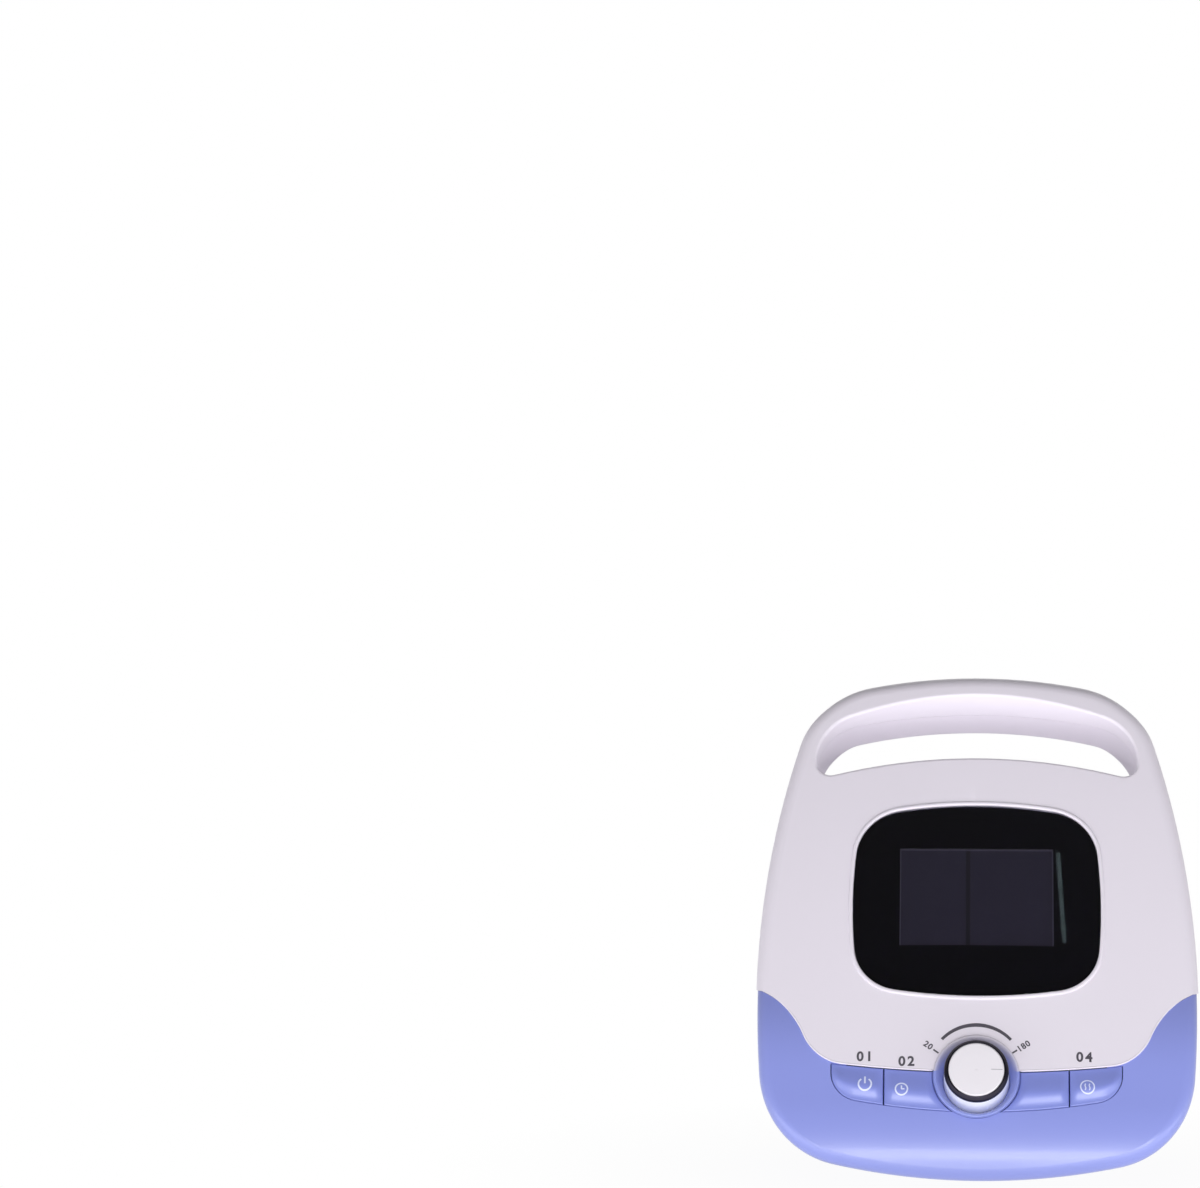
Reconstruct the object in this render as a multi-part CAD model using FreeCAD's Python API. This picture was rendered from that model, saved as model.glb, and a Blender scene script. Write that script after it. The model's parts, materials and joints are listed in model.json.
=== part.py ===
"""Console of an air-compression leg therapy set, as separate pieces in millimetres.

X runs to the right, Y to the back and Z up. The case is drawn with the foot of its front
at y = 0 and its underside at z = 0. Each piece is written with the case centred on X and Y
and standing on its rubber feet.
"""
import FreeCAD
import Part
import math
import os
from FreeCAD import Placement, Rotation, Vector

# Case outline, seen from the front
WIDTH = 236.6
HEIGHT = 262.2
DEPTH = 155.0
WIDEST_Z = 92.0
SIDE_R = 430.0
TOP_R = 310.0
BOTTOM_R = 385.0
SHOULDER_TOP = (74.0, 252.6)
SHOULDER_LOW = (95.7, 234.0)
SHOULDER_TOP_R = 54.0
SHOULDER_LOW_R = 38.0
BOTTOM_CORNER_R = 51.0

# Front surface, seen from the side and from above
LIP_Z = 8.0
LIP_R = 80.0
LEAN = 25.0
CROWN_R = 3000.0
PLAN_R = 900.0
FRONT_EDGE_R = 8.0
REAR_EDGE_R = 16.0

# Walls and seams
WALL = 3.0
TUB_REVEAL = 0.8
SEAM_GAP = 0.3
FIT = 0.25

# Edge between the white case and the blue tub
EDGE_LOW_Z = 58.0
EDGE_SAG_R = 830.0
EDGE_TURN_X = 69.0
EDGE_TURN_R = 25.4
EDGE_LOBE_R = 41.0
EDGE_LOBE_DROP = 28.0
EDGE_SIDE_X = 115.0
EDGE_REAR_Y = 80.0

# Joint between the two white halves, a plane that leans with the front
PARTING_DEPTH = 20.0
PARTING_Z = 147.0

# Hand hole
TUNNEL_Z = 237.0
TUNNEL_HALF = 87.4
TUNNEL_TOP_Z = 254.0
TUNNEL_BOTTOM_Z = 220.3
TUNNEL_TOP_R = 200.0
TUNNEL_BOTTOM_R = 345.0
TUNNEL_UPPER_CORNER_R = 28.0
TUNNEL_LOWER_CORNER_R = 8.0
TUNNEL_FRONT_EDGE_R = 1.6
GRIP_BELLY = 6.3
GRIP_BELLY_R = 357.0
GRIP_BELLY_DEPTH = 29.0
TUNNEL_REAR_EDGE_R = 8.0
GRIP_SOLID_DEPTH = 12.0

# Window and display
WINDOW_Z = 145.7
WINDOW_HALF_WIDTH = 66.9
WINDOW_HALF_HEIGHT = 55.7
WINDOW_SIDE_R = 293.0
WINDOW_WAIST = -3.0
WINDOW_TOP_R = 281.0
WINDOW_BOTTOM_R = 270.0
WINDOW_UPPER_CORNER_R = 28.5
WINDOW_LOWER_CORNER_R = 26.2
RIM_WIDTH = 1.7
RIM_PROUD = 0.5
LENS_SINK = 0.4
LENS_THICK = 2.2
MASK_GAP = 0.05
MASK_THICK = 0.2
SEAT_THICK = 2.2
SEAT_WIDTH = 5.0
SCREEN_WIDTH = 82.6
SCREEN_HEIGHT = 56.7
SCREEN_RISE = 2.7
PANEL_BORDER = 4.0
PANEL_DEPTH = 5.6
PANEL_THICK = 4.0
FRAME_WALL = 1.5
BOARD_THICK = 1.6
DISPLAY_BOARD_DEPTH = 11.0
DISPLAY_BOARD_HALF = (69.0, 34.0)
DISPLAY_BOSS = (65.0, 22.0)
BUZZER_R = 6.0
BUZZER_HEIGHT = 7.0

# Knob, collar and potentiometer
KNOB_Z = 55.5
COLLAR_R = 22.8
COLLAR_BORE_R = 17.9
COLLAR_DISH_R = 21.4
COLLAR_DISH_DEPTH = 7.6
COLLAR_PROUD = 1.3
COLLAR_FLOOR_DEPTH = 10.4
COLLAR_FLOOR_THICK = 1.6
COLLAR_TAB_X = 14.0
KNOB_BASE_R = 17.4
KNOB_TOP_R = 17.0
KNOB_CAP_R = 14.7
KNOB_HEIGHT = 11.4
KNOB_SUNK = 9.6
KNOB_RING_DEPTH = 4.2
KNOB_CAP_THICK = 1.8
KNOB_WALL = 1.8
SHAFT_R = 3.0
SHAFT_FIT = 0.05
SHAFT_FLAT = 1.2
SHAFT_CLEARANCE = 0.08
BUSH_R = 4.0
BUSH_TIP_DEPTH = 5.0
POT_R = 8.5
NUT_ACROSS = 10.0
NUT_THICK = 1.8

# Key row
ROW_HALF = 77.0
ROW_SPLIT_X = 49.0
ROW_GAP = 0.5
ROW_BOTTOM = -19.4
ROW_BOTTOM_R = 327.0
ROW_CORNER_R = 16.0
KEY_CLEARANCE = 0.35
KEY_INSET = 0.4
KEY_THICK = 4.2
KEY_FLANGE = 1.2
KEY_FLANGE_THICK = 1.3
KEY_TRAVEL = 1.2
KEY_STEM_R = 2.4
KEY_BOARD_DEPTH = 17.0
KEY_BOARD_TOP = 11.0
KEY_BOARD_BOTTOM = -29.0
KEY_BOARD_HALF = 80.0
KEY_BOSS = (70.0, -25.0)
OUTER_KEY = (63.0, -4.0)
INNER_KEY = (36.0, -8.0)
SWITCH_SIZE = 6.2
SWITCH_HEIGHT = 3.6
PLUNGER_R = 1.8
PLUNGER_CLEARANCE = 0.15
PLUNGER_REACH = 1.8

# Pump, on four rubber mounts
PUMP_X = -20.0
PUMP_Y = 90.0
PUMP_BASE_Z = 20.0
PUMP_LENGTH = 90.0
PUMP_WIDTH = 70.0
PUMP_HEIGHT = 56.0
PUMP_WALL = 3.0
PUMP_END_WALL = 4.0
DIAPHRAGM_R = 22.0
DIAPHRAGM_THICK = 1.5
CHAMBER_R = 17.0
CHAMBER_DEPTH = 9.0
HEAD_SIZE = (20.0, 56.0, 50.0)
HEAD_SCREW = (2.6, 2.4, 1.4, 21.0)
HEAD_SCREW_PLACES = ((-22.0, -19.0), (22.0, 19.0))
HEAD_HOLE_R = 1.6
ARMATURE_WIDTH = 10.0
ARMATURE_HEIGHT = 12.0
CLAMP_R = 8.0
CLAMP_THICK = 2.0
STUD_R = 3.0
MAGNET_SIZE = (16.0, 2.0, 20.0)
MAGNET_PITCH = 22.0
AIR_GAP = 1.5
CORE_LENGTH = 46.0
CORE_HEIGHT = 28.0
CORE_BACK = 6.0
CORE_LEG = 8.0
COIL_WALL = 7.0
COIL_HEIGHT = 12.0
MOUNT_R = 6.5
MOUNT_HEIGHT = 8.0
LUG_REACH = 12.0
LUG_THICK = 3.0

# Valves, tubes and outlets
BLOCK_Z = 112.0
BLOCK_Y = 102.0
BLOCK_SIZE = (170.0, 20.0, 20.0)
BLOCK_ARM_X = 80.0
VALVE_X = (-54.0, -18.0, 18.0, 54.0)
VALVE_NAMES = ("foot", "calf", "knee", "thigh")
COIL_R = 10.0
VALVE_COIL_HEIGHT = 26.0
VALVE_BORE_R = 4.0
VALVE_PLUNGER_R = 3.9
VALVE_PLUNGER_HEIGHT = 16.0
VALVE_SEAT = 6.0
COIL_CROWN = 5.0
SPRING_R = 2.8
SPRING_WIRE_R = 0.35
SPRING_TURNS = 6
BARB_R = 2.0
BARB_LENGTH = 6.0
TUBE_R = 3.2
TUBE_BORE_R = 2.05
TUBE_OFFSET = 10.0
TUBE_BEND_R = 4.5
TUBE_STRAIGHT = 8.0
OUTLET_X = 50.0
OUTLET_PITCH = 11.0
NOZZLES = 4
NOZZLE_R = 2.5
NOZZLE_BORE_R = 1.4
NOZZLE_LENGTH = 12.0
SOCKET_SIZE = (50.0, 22.0)
SOCKET_FLANGE = 3.0
SOCKET_FLANGE_THICK = 1.6
SOCKET_BODY_DEPTH = 6.0

# Boards and mains
POWER_BOARD_X = 66.0
POWER_BOARD = (60.0, 128.0, 14.0, 84.0)
MAIN_BOARD_Y = 140.0
MAIN_BOARD = (56.0, 148.0, 182.0)
PLUG_SIZE = (14.0, 5.0, 7.0)
KEY_PLUG_RISE = -16.5
SCREEN_PLUG_RISE = -20.5
KEY_CABLE_X = -3.0
SCREEN_CABLE_X = 35.0
CABLE_WIDTH = 8.0
CABLE_THICK = 1.0
CABLE_BEND_R = 4.0
INLET_X = 76.0
INLET_Z = 40.0
INLET_FLANGE = (32.0, 24.0)
INLET_BODY = (26.0, 18.0)
INLET_DEPTH = 18.0
INLET_CAVITY = (17.6, 9.6)
INLET_CAVITY_DEPTH = 13.0
PIN_R = 1.2
PIN_PITCH = 8.6
PIN_LENGTH = 9.0

# Filter, vents, feet and screws
FILTER_X = -76.0
FILTER_Z = 40.0
FILTER_R = 15.0
FILTER_THICK = 6.0
COVER_R = 18.0
COVER_THICK = 2.0
VENT_WIDTH = 2.6
VENT_HEIGHT = 34.0
VENT_PITCH = 7.0
VENT_COUNT = 9
VENT_Z = 44.0
FOOT_PLACES = ((36.0, 56.0), (52.0, 122.0))
FOOT_R = 10.0
FOOT_DROP = 1.0
FOOT_PAD_Z = 3.0
FOOT_STEM_R = 3.0
COLUMN_PLACES = ((92.0, 48.0), (92.0, 132.0))
COLUMN_R = 5.5
COLUMN_BORE_R = 3.8
REAR_SCREWS = ((92.0, 116.0), (80.0, 176.0))
CASE_SCREW = (3.0, 2.2, 1.4, 14.0)
BOARD_SCREW = (2.5, 1.6, 1.1, 7.0)
SCREW_CLEARANCE = 0.3
SCREW_SHOULDER = 6.0

X_AXIS = Vector(1, 0, 0)
Y_AXIS = Vector(0, 1, 0)
Z_AXIS = Vector(0, 0, 1)
FAR = 400.0


# ---- plain solids and small helpers ----

def box(x0, x1, y0, y1, z0, z1):
    """Box between two corners, given in any order."""
    low = Vector(min(x0, x1), min(y0, y1), min(z0, z1))
    return Part.makeBox(abs(x1 - x0), abs(y1 - y0), abs(z1 - z0), low)


def rod(radius, start, axis, length):
    return Part.makeCylinder(radius, length, start, axis)


def bar(radius, x, z, y0, y1):
    """Cylinder along Y, centred on (x, z)."""
    return Part.makeCylinder(radius, y1 - y0, Vector(x, y0, z), Y_AXIS)


def post(radius, x, y, z0, z1):
    return Part.makeCylinder(radius, z1 - z0, Vector(x, y, z0), Z_AXIS)


def fuse(shapes):
    first, rest = shapes[0], shapes[1:]
    return first.multiFuse(rest).removeSplitter() if rest else first


def cut(shape, tools):
    return shape.cut(Part.makeCompound(tools)) if tools else shape


def turned(points, start, axis):
    """Solid of revolution about the line through start along axis.

    points are (radius, height along axis) pairs of the closed half section.
    """
    side = Vector(1, 0, 0) if abs(axis.x) < 0.9 else Vector(0, 0, 1)
    ring = [start + side * r + axis * h for r, h in points]
    return Part.Face(Part.makePolygon(ring + ring[:1])).revolve(start, axis, 360)


def normal_at(face, point):
    u, v = face.Surface.parameter(point)
    return face.normalAt(u, v)


def is_sharp(shape, edge, limit=20.0):
    """True where the two faces beside the edge turn by more than limit degrees."""
    faces = shape.ancestorsOfType(edge, Part.Face)
    if len(faces) < 2:
        return False
    middle = edge.valueAt((edge.FirstParameter + edge.LastParameter) / 2)
    turn = normal_at(faces[0], middle).getAngle(normal_at(faces[1], middle))
    return math.degrees(turn) > limit


def sharp_edges(shape, wanted):
    """Sharp edges whose centre passes the test."""
    return [e for e in shape.Edges if is_sharp(shape, e) and wanted(e.CenterOfMass)]


def runs_along(edge, axis):
    a, b = edge.Vertexes[0].Point, edge.Vertexes[-1].Point
    return (b - a).Length > 0.5 and abs((b - a).normalize().dot(axis)) > 0.99


def round_along(shape, axis, radius, wanted):
    edges = [e for e in sharp_edges(shape, wanted) if runs_along(e, axis)]
    return shape.makeFillet(radius, edges)


# ---- the front surface ----

def leaning(degrees):
    """Outward direction of a front surface that leans back by so many degrees."""
    angle = math.radians(degrees)
    return Vector(0, -math.cos(angle), math.sin(angle))


LIP_CENTRE = Vector(0, LIP_R, LIP_Z)
CROWN_CENTRE = LIP_CENTRE + leaning(LEAN) * (LIP_R - CROWN_R)


def lean_at(z):
    return math.degrees(math.asin((z - CROWN_CENTRE.z) / CROWN_R))


def face_point(z):
    """Point of the leaning front on the centre line at height z."""
    return CROWN_CENTRE + leaning(lean_at(z)) * CROWN_R


def on_face(shape, z):
    """Moves a shape drawn against the plane y = 0, depth along +Y, onto the front at height z."""
    placed = shape.copy()
    turn = Rotation(X_AXIS, -lean_at(z))
    placed.Placement = Placement(face_point(z), turn).multiply(placed.Placement)
    return placed


def behind_front(inset):
    """Everything behind the front surface moved inwards by inset, as a turned sector."""
    end = LEAN + 6.0
    lip = [LIP_CENTRE + leaning(a) * (LIP_R - inset) for a in (0, LEAN / 2, LEAN)]
    crown = [CROWN_CENTRE + leaning(a) * (CROWN_R - inset) for a in (LEAN, (LEAN + end) / 2, end)]
    foot = Vector(0, inset, -FAR / 8)
    back = PLAN_R * 2 / 3
    rear_top = Vector(0, back, crown[2].z)
    rear_foot = Vector(0, back, foot.z)
    edges = [
        Part.LineSegment(foot, lip[0]),
        Part.Arc(*lip),
        Part.Arc(*crown),
        Part.LineSegment(crown[2], rear_top),
        Part.LineSegment(rear_top, rear_foot),
        Part.LineSegment(rear_foot, foot),
    ]
    section = Part.Face(Part.Wire([e.toShape() for e in edges]))
    axis = Vector(0, PLAN_R, 0)
    section.rotate(axis, Z_AXIS, -20)
    return section.revolve(axis, Z_AXIS, 40)


def skin(outer, inner):
    """Layer that follows the front surface between two insets."""
    return behind_front(outer).cut(behind_front(inner))


# ---- the case form ----

def outline_prism(inset):
    """Front outline, moved inwards by inset and run from front to back."""
    y0, y1 = -40.0, DEPTH - inset
    side_x = WIDTH / 2 - SIDE_R
    prism = bar(TOP_R - inset, 0, HEIGHT - TOP_R, y0, y1)
    prism = prism.common(bar(BOTTOM_R - inset, 0, BOTTOM_R, y0, y1))
    prism = prism.common(bar(SIDE_R - inset, side_x, WIDEST_Z, y0, y1))
    prism = prism.common(bar(SIDE_R - inset, -side_x, WIDEST_Z, y0, y1))
    (x_top, z_top), (x_low, z_low) = SHOULDER_TOP, SHOULDER_LOW
    slope = math.atan2(z_top - z_low, x_low - x_top)
    for side in (-1, 1):
        outward = Vector(side * math.sin(slope), 0, math.cos(slope))
        beyond = box(-100, 100, -100, 300, 0, 60)
        beyond.rotate(Vector(), Y_AXIS, side * math.degrees(slope))
        beyond.translate(Vector(side * x_top, 0, z_top) - outward * inset)
        prism = prism.cut(beyond)
    corners = (
        (SHOULDER_TOP_R, lambda p: p.z > (z_top + z_low) / 2),
        (SHOULDER_LOW_R, lambda p: WIDEST_Z < p.z < (z_top + z_low) / 2),
        (BOTTOM_CORNER_R, lambda p: p.z < WIDEST_Z),
    )
    for radius, wanted in corners:
        prism = round_along(prism, Y_AXIS, radius - inset, wanted)
    return prism


def case_form(inset):
    """The closed case without its hand hole, moved inwards by inset."""
    form = outline_prism(inset).common(behind_front(inset))
    rear = DEPTH - inset - 0.01
    form = form.makeFillet(FRONT_EDGE_R - inset, sharp_edges(form, lambda p: p.y < rear))
    return form.makeFillet(REAR_EDGE_R - inset, sharp_edges(form, lambda p: p.y > rear))


def circles_meet(centre_a, radius_a, centre_b, radius_b):
    """The crossing of two circles in the XZ plane that lies on the right of the way from a to b."""
    way = centre_b - centre_a
    gap = way.Length
    along = (radius_a**2 - radius_b**2 + gap**2) / (2 * gap)
    unit = way * (1 / gap)
    return centre_a + unit * along + Vector(unit.z, 0, -unit.x) * math.sqrt(radius_a**2 - along**2)


def hole_section(depth, grow):
    """Outline of the hand hole at one depth. The grip above it bellies down and is flatter inside."""
    tilt = math.cos(math.radians(lean_at(TUNNEL_Z)))
    share = 1 - (depth / GRIP_BELLY_DEPTH - 1) ** 2
    top_r = 1 / ((1 - share) / TUNNEL_TOP_R + share / GRIP_BELLY_R)
    top = Vector(0, 0, (TUNNEL_TOP_Z - TUNNEL_Z) / tilt - share * GRIP_BELLY - top_r)
    bottom = Vector(0, 0, (TUNNEL_BOTTOM_Z - TUNNEL_Z) / tilt - TUNNEL_BOTTOM_R)
    upper_r, lower_r = TUNNEL_UPPER_CORNER_R, TUNNEL_LOWER_CORNER_R
    upper_x = TUNNEL_HALF - upper_r
    upper = Vector(upper_x, 0, top.z + math.sqrt((top_r - upper_r) ** 2 - upper_x**2))
    lower = circles_meet(bottom, TUNNEL_BOTTOM_R + lower_r, upper, upper_r - lower_r)
    crest = upper + (upper - top).normalize() * (upper_r + grow)
    turn = lower + (lower - upper).normalize() * (lower_r + grow)
    toe = lower + (bottom - lower).normalize() * (lower_r + grow)
    arcs = [
        arc_on(bottom, TUNNEL_BOTTOM_R - grow, flipped(toe), toe), arc_on(lower, lower_r + grow, toe, turn),
        arc_on(upper, upper_r + grow, turn, crest), arc_on(top, top_r + grow, crest, flipped(crest)),
        arc_on(flipped(upper), upper_r + grow, flipped(crest), flipped(turn)),
        arc_on(flipped(lower), lower_r + grow, flipped(turn), flipped(toe)),
    ]
    section = Part.Wire(arcs)
    section.translate(Y_AXIS * depth)
    return section


def hand_hole(grow):
    """The hand hole, square to the front, made larger by grow."""
    step = GRIP_BELLY_DEPTH / 2
    sections = [hole_section(step * i, grow) for i in range(-1, 6)]
    return on_face(Part.makeLoft(sections, True, False), TUNNEL_Z)


def outer_case():
    """The white case as one solid, with the edges of the hand hole rounded."""
    form = case_form(0).cut(hand_hole(0))
    rear = DEPTH - 0.01
    form = form.makeFillet(TUNNEL_REAR_EDGE_R, sharp_edges(form, lambda p: p.y > rear))
    return form.makeFillet(TUNNEL_FRONT_EDGE_R, sharp_edges(form, lambda p: True))


def case_cavity():
    """The hollow of the case. The front of the grip stays solid."""
    grip = on_face(box(-FAR, FAR, -FAR, GRIP_SOLID_DEPTH, 3, 60), TUNNEL_Z)
    hollow = case_form(WALL).cut(hand_hole(WALL))
    rear = DEPTH - WALL - 0.01
    radius = TUNNEL_REAR_EDGE_R - WALL
    hollow = hollow.makeFillet(radius, sharp_edges(hollow, lambda p: p.y > rear))
    return hollow.cut(grip)


def arc_on(centre, radius, start, end):
    """The shorter arc of a circle from start to end."""
    towards = ((start - centre).normalize() + (end - centre).normalize()).normalize()
    return Part.Arc(start, centre + towards * radius, end).toShape()


def edge_places():
    """Centres and tangent points of the two-colour edge on the right-hand side."""
    sag = Vector(0, 0, EDGE_LOW_Z + EDGE_SAG_R)
    reach = EDGE_SAG_R - EDGE_TURN_R
    turn = Vector(EDGE_TURN_X, 0, sag.z - math.sqrt(reach**2 - EDGE_TURN_X**2))
    span = EDGE_TURN_R + EDGE_LOBE_R
    lobe = turn + Vector(math.sqrt(span**2 - EDGE_LOBE_DROP**2), 0, -EDGE_LOBE_DROP)
    low = sag + (turn - sag).normalize() * EDGE_SAG_R
    high = turn + (lobe - turn).normalize() * EDGE_TURN_R
    rise = math.sqrt(EDGE_LOBE_R**2 - (lobe.x - EDGE_SIDE_X) ** 2)
    side = Vector(EDGE_SIDE_X, 0, lobe.z + rise)
    return sag, turn, lobe, low, high, side


def flipped(point):
    return Vector(-point.x, point.y, point.z)


def tub_zone(drop=0.0):
    """The space of the blue tub: under the S-shaped edge in front, under a level edge behind."""
    sag, turn, lobe, low, high, side = edge_places()
    wide = 150.0
    foot = -FAR / 8
    outline = [
        Part.LineSegment(Vector(-wide, 0, side.z), flipped(side)).toShape(),
        arc_on(flipped(lobe), EDGE_LOBE_R, flipped(side), flipped(high)),
        arc_on(flipped(turn), EDGE_TURN_R, flipped(high), flipped(low)),
        arc_on(sag, EDGE_SAG_R, flipped(low), low),
        arc_on(turn, EDGE_TURN_R, low, high),
        arc_on(lobe, EDGE_LOBE_R, high, side),
        Part.LineSegment(side, Vector(wide, 0, side.z)).toShape(),
        Part.LineSegment(Vector(wide, 0, side.z), Vector(wide, 0, foot)).toShape(),
        Part.LineSegment(Vector(wide, 0, foot), Vector(-wide, 0, foot)).toShape(),
        Part.LineSegment(Vector(-wide, 0, foot), Vector(-wide, 0, side.z)).toShape(),
    ]
    face = Part.Face(Part.Wire(outline))
    face.translate(Vector(0, -60, -drop))
    front = face.extrude(Y_AXIS * (60 + EDGE_REAR_Y))
    rear = box(-wide, wide, EDGE_REAR_Y, 2 * DEPTH, foot, side.z - drop)
    return front.fuse(rear)


def parting_place():
    return face_point(PARTING_Z) + Vector(0, PARTING_DEPTH, 0)


def front_side(shift):
    """Everything in front of the joint between the white halves, moved forward by shift."""
    zone = box(-FAR, FAR, -FAR, -shift, -FAR, FAR)
    zone.Placement = Placement(parting_place(), Rotation(X_AXIS, -lean_at(PARTING_Z)))
    return zone


def parting_y(z):
    return parting_place().y + (z - PARTING_Z) * math.tan(math.radians(lean_at(PARTING_Z)))


# ---- window and display, drawn against the plane y = 0 ----

def window_block(grow, y0=-20.0, y1=30.0):
    """The bulging window outline as a prism, made larger by grow."""
    half_w = WINDOW_HALF_WIDTH + grow
    half_h = WINDOW_HALF_HEIGHT + grow
    side_r, top_r, bottom_r = WINDOW_SIDE_R + grow, WINDOW_TOP_R + grow, WINDOW_BOTTOM_R + grow
    block = bar(side_r, half_w - side_r, WINDOW_WAIST, y0, y1)
    block = block.common(bar(side_r, side_r - half_w, WINDOW_WAIST, y0, y1))
    block = block.common(bar(top_r, 0, half_h - top_r, y0, y1))
    block = block.common(bar(bottom_r, 0, bottom_r - half_h, y0, y1))
    block = round_along(block, Y_AXIS, WINDOW_UPPER_CORNER_R + grow, lambda p: p.z > 0)
    return round_along(block, Y_AXIS, WINDOW_LOWER_CORNER_R + grow, lambda p: p.z < 0)


def window(grow):
    return on_face(window_block(grow), WINDOW_Z)


def on_screen(shape):
    """Moves a shape drawn about the middle of the screen onto the front."""
    raised = shape.copy()
    raised.translate(Z_AXIS * SCREEN_RISE)
    return on_face(raised, WINDOW_Z)


def plug_block(x, y, z):
    """Cable plug behind the board face at y, centred on (x, z)."""
    width, depth, height = PLUG_SIZE
    return box(x - width / 2, x + width / 2, y, y + depth, z - height / 2, z + height / 2)


def screen_block(grow, y0, y1):
    half_w, half_h = SCREEN_WIDTH / 2 + grow, SCREEN_HEIGHT / 2 + grow
    return box(-half_w, half_w, y0, y1, -half_h, half_h)


def window_lens():
    return skin(LENS_SINK, LENS_SINK + LENS_THICK).common(window(-FIT))


def lens_mask():
    back = LENS_SINK + LENS_THICK
    film = skin(back + MASK_GAP, back + MASK_THICK).common(window(-FIT))
    return film.cut(on_screen(screen_block(0, -5, 20)))


def display_panel():
    panel = screen_block(PANEL_BORDER, PANEL_DEPTH, PANEL_DEPTH + PANEL_THICK)
    return on_screen(panel)


def display_frame():
    outer = screen_block(PANEL_BORDER + FRAME_WALL, PANEL_DEPTH - 0.6, DISPLAY_BOARD_DEPTH)
    outer = round_along(outer, Y_AXIS, 2.0, lambda p: True)
    seat = screen_block(PANEL_BORDER, PANEL_DEPTH, DISPLAY_BOARD_DEPTH)
    return on_screen(outer.cut(seat).cut(screen_block(0.5, 0, PANEL_DEPTH)))


def display_board():
    half_w, half_h = DISPLAY_BOARD_HALF
    back = DISPLAY_BOARD_DEPTH + BOARD_THICK
    board = box(-half_w, half_w, DISPLAY_BOARD_DEPTH, back, -half_h, half_h)
    board = round_along(board, Y_AXIS, 3.0, lambda p: True)
    hole_r = BOARD_SCREW[2] + SCREW_CLEARANCE
    holes = [bar(hole_r, x, z, 0, 30) for x, z in display_bosses()]
    chips = [box(-30, -14, back, back + 1.8, -8, 8), box(-8, 10, back, back + 1.8, 4, 14)]
    plug = plug_block(SCREEN_CABLE_X, back, SCREEN_PLUG_RISE)
    return on_screen(fuse([cut(board, holes)] + chips + [plug]))


def display_bosses():
    x, z = DISPLAY_BOSS
    return [(sx * x, sz * z) for sx in (-1, 1) for sz in (-1, 1)]


def buzzer():
    back = DISPLAY_BOARD_DEPTH + BOARD_THICK
    body = bar(BUZZER_R, -48, -14, back, back + BUZZER_HEIGHT)
    return on_screen(body.cut(bar(1.2, -48, -14, back + 3, back + 10)))


# ---- knob and collar, drawn against the plane y = 0 ----

def round_shape(points, z=KNOB_Z):
    """Turned solid about the front's normal at height z, from (radius, depth) pairs."""
    return on_face(turned(points, Vector(), Y_AXIS), z)


def knob_collar():
    floor = COLLAR_FLOOR_DEPTH
    under = floor + COLLAR_FLOOR_THICK
    ring = turned(
        [
            (COLLAR_R, -0.5), (COLLAR_R, under), (BUSH_R + 0.2, under), (BUSH_R + 0.2, floor),
            (COLLAR_BORE_R, floor), (COLLAR_BORE_R, COLLAR_DISH_DEPTH), (COLLAR_DISH_R - 0.5, 0.2),
            (COLLAR_DISH_R, -COLLAR_PROUD + 0.4), (COLLAR_DISH_R + 0.35, -COLLAR_PROUD),
            (COLLAR_R - 0.45, -COLLAR_PROUD), (COLLAR_R - 0.1, -COLLAR_PROUD + 0.3),
        ],
        Vector(), Y_AXIS,
    )
    tab = box(-COLLAR_TAB_X - 5, COLLAR_TAB_X + 5, floor, under, KEY_BOSS[1] - 4, -12)
    tab = round_along(tab, Y_AXIS, 3.0, lambda p: p.z < -20)
    tab = tab.cut(bar(COLLAR_BORE_R, 0, 0, 0, 20))
    hole_r = BOARD_SCREW[2] + SCREW_CLEARANCE
    holes = [bar(hole_r, s * COLLAR_TAB_X, KEY_BOSS[1], 0, 20) for s in (-1, 1)]
    return on_face(cut(fuse([ring, tab]), holes), KNOB_Z)


def d_bore(radius, y0, y1):
    """Round bar with one flat, for the shaft and the hub that takes it."""
    flat = radius - SHAFT_FLAT
    return bar(radius, 0, 0, y0, y1).cut(box(-10, 10, y0, y1, flat, 10))


def knob_body():
    top = -KNOB_HEIGHT
    inner = KNOB_BASE_R - KNOB_WALL
    ceiling = top + KNOB_RING_DEPTH + 2.2
    shell = turned(
        [
            (0, top + KNOB_CAP_THICK), (KNOB_CAP_R + 0.1, top + KNOB_CAP_THICK),
            (KNOB_CAP_R + 0.1, top + KNOB_RING_DEPTH), (KNOB_TOP_R, top + KNOB_RING_DEPTH),
            (KNOB_BASE_R, KNOB_SUNK - 0.5), (KNOB_BASE_R - 0.5, KNOB_SUNK), (inner, KNOB_SUNK),
            (inner - 0.3, ceiling), (6.4, ceiling), (6.0, BUSH_TIP_DEPTH - 1.2), (0, BUSH_TIP_DEPTH - 1.2),
        ],
        Vector(), Y_AXIS,
    )
    bore = d_bore(SHAFT_R + SHAFT_FIT, top + KNOB_RING_DEPTH + 1.0, 10)
    ribs = [box(-0.6, 0.6, ceiling - 0.5, -2, 6.2, inner + 0.8) for _ in range(6)]
    for i, rib in enumerate(ribs):
        rib.rotate(Vector(), Y_AXIS, 30 + 60 * i)
    return on_face(fuse([shell] + ribs).cut(bore), KNOB_Z)


def ring_profile():
    top = -KNOB_HEIGHT
    return [
        (KNOB_CAP_R + 0.1, top + 0.3), (KNOB_CAP_R + 0.4, top), (KNOB_CAP_R + 0.8, top + 0.15),
        (KNOB_TOP_R - 0.3, top + 1.5), (KNOB_TOP_R + 0.1, top + 2.6), (KNOB_TOP_R, top + KNOB_RING_DEPTH),
        (KNOB_CAP_R + 0.1, top + KNOB_RING_DEPTH),
    ]


def knob_ring():
    return round_shape(ring_profile())


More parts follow.
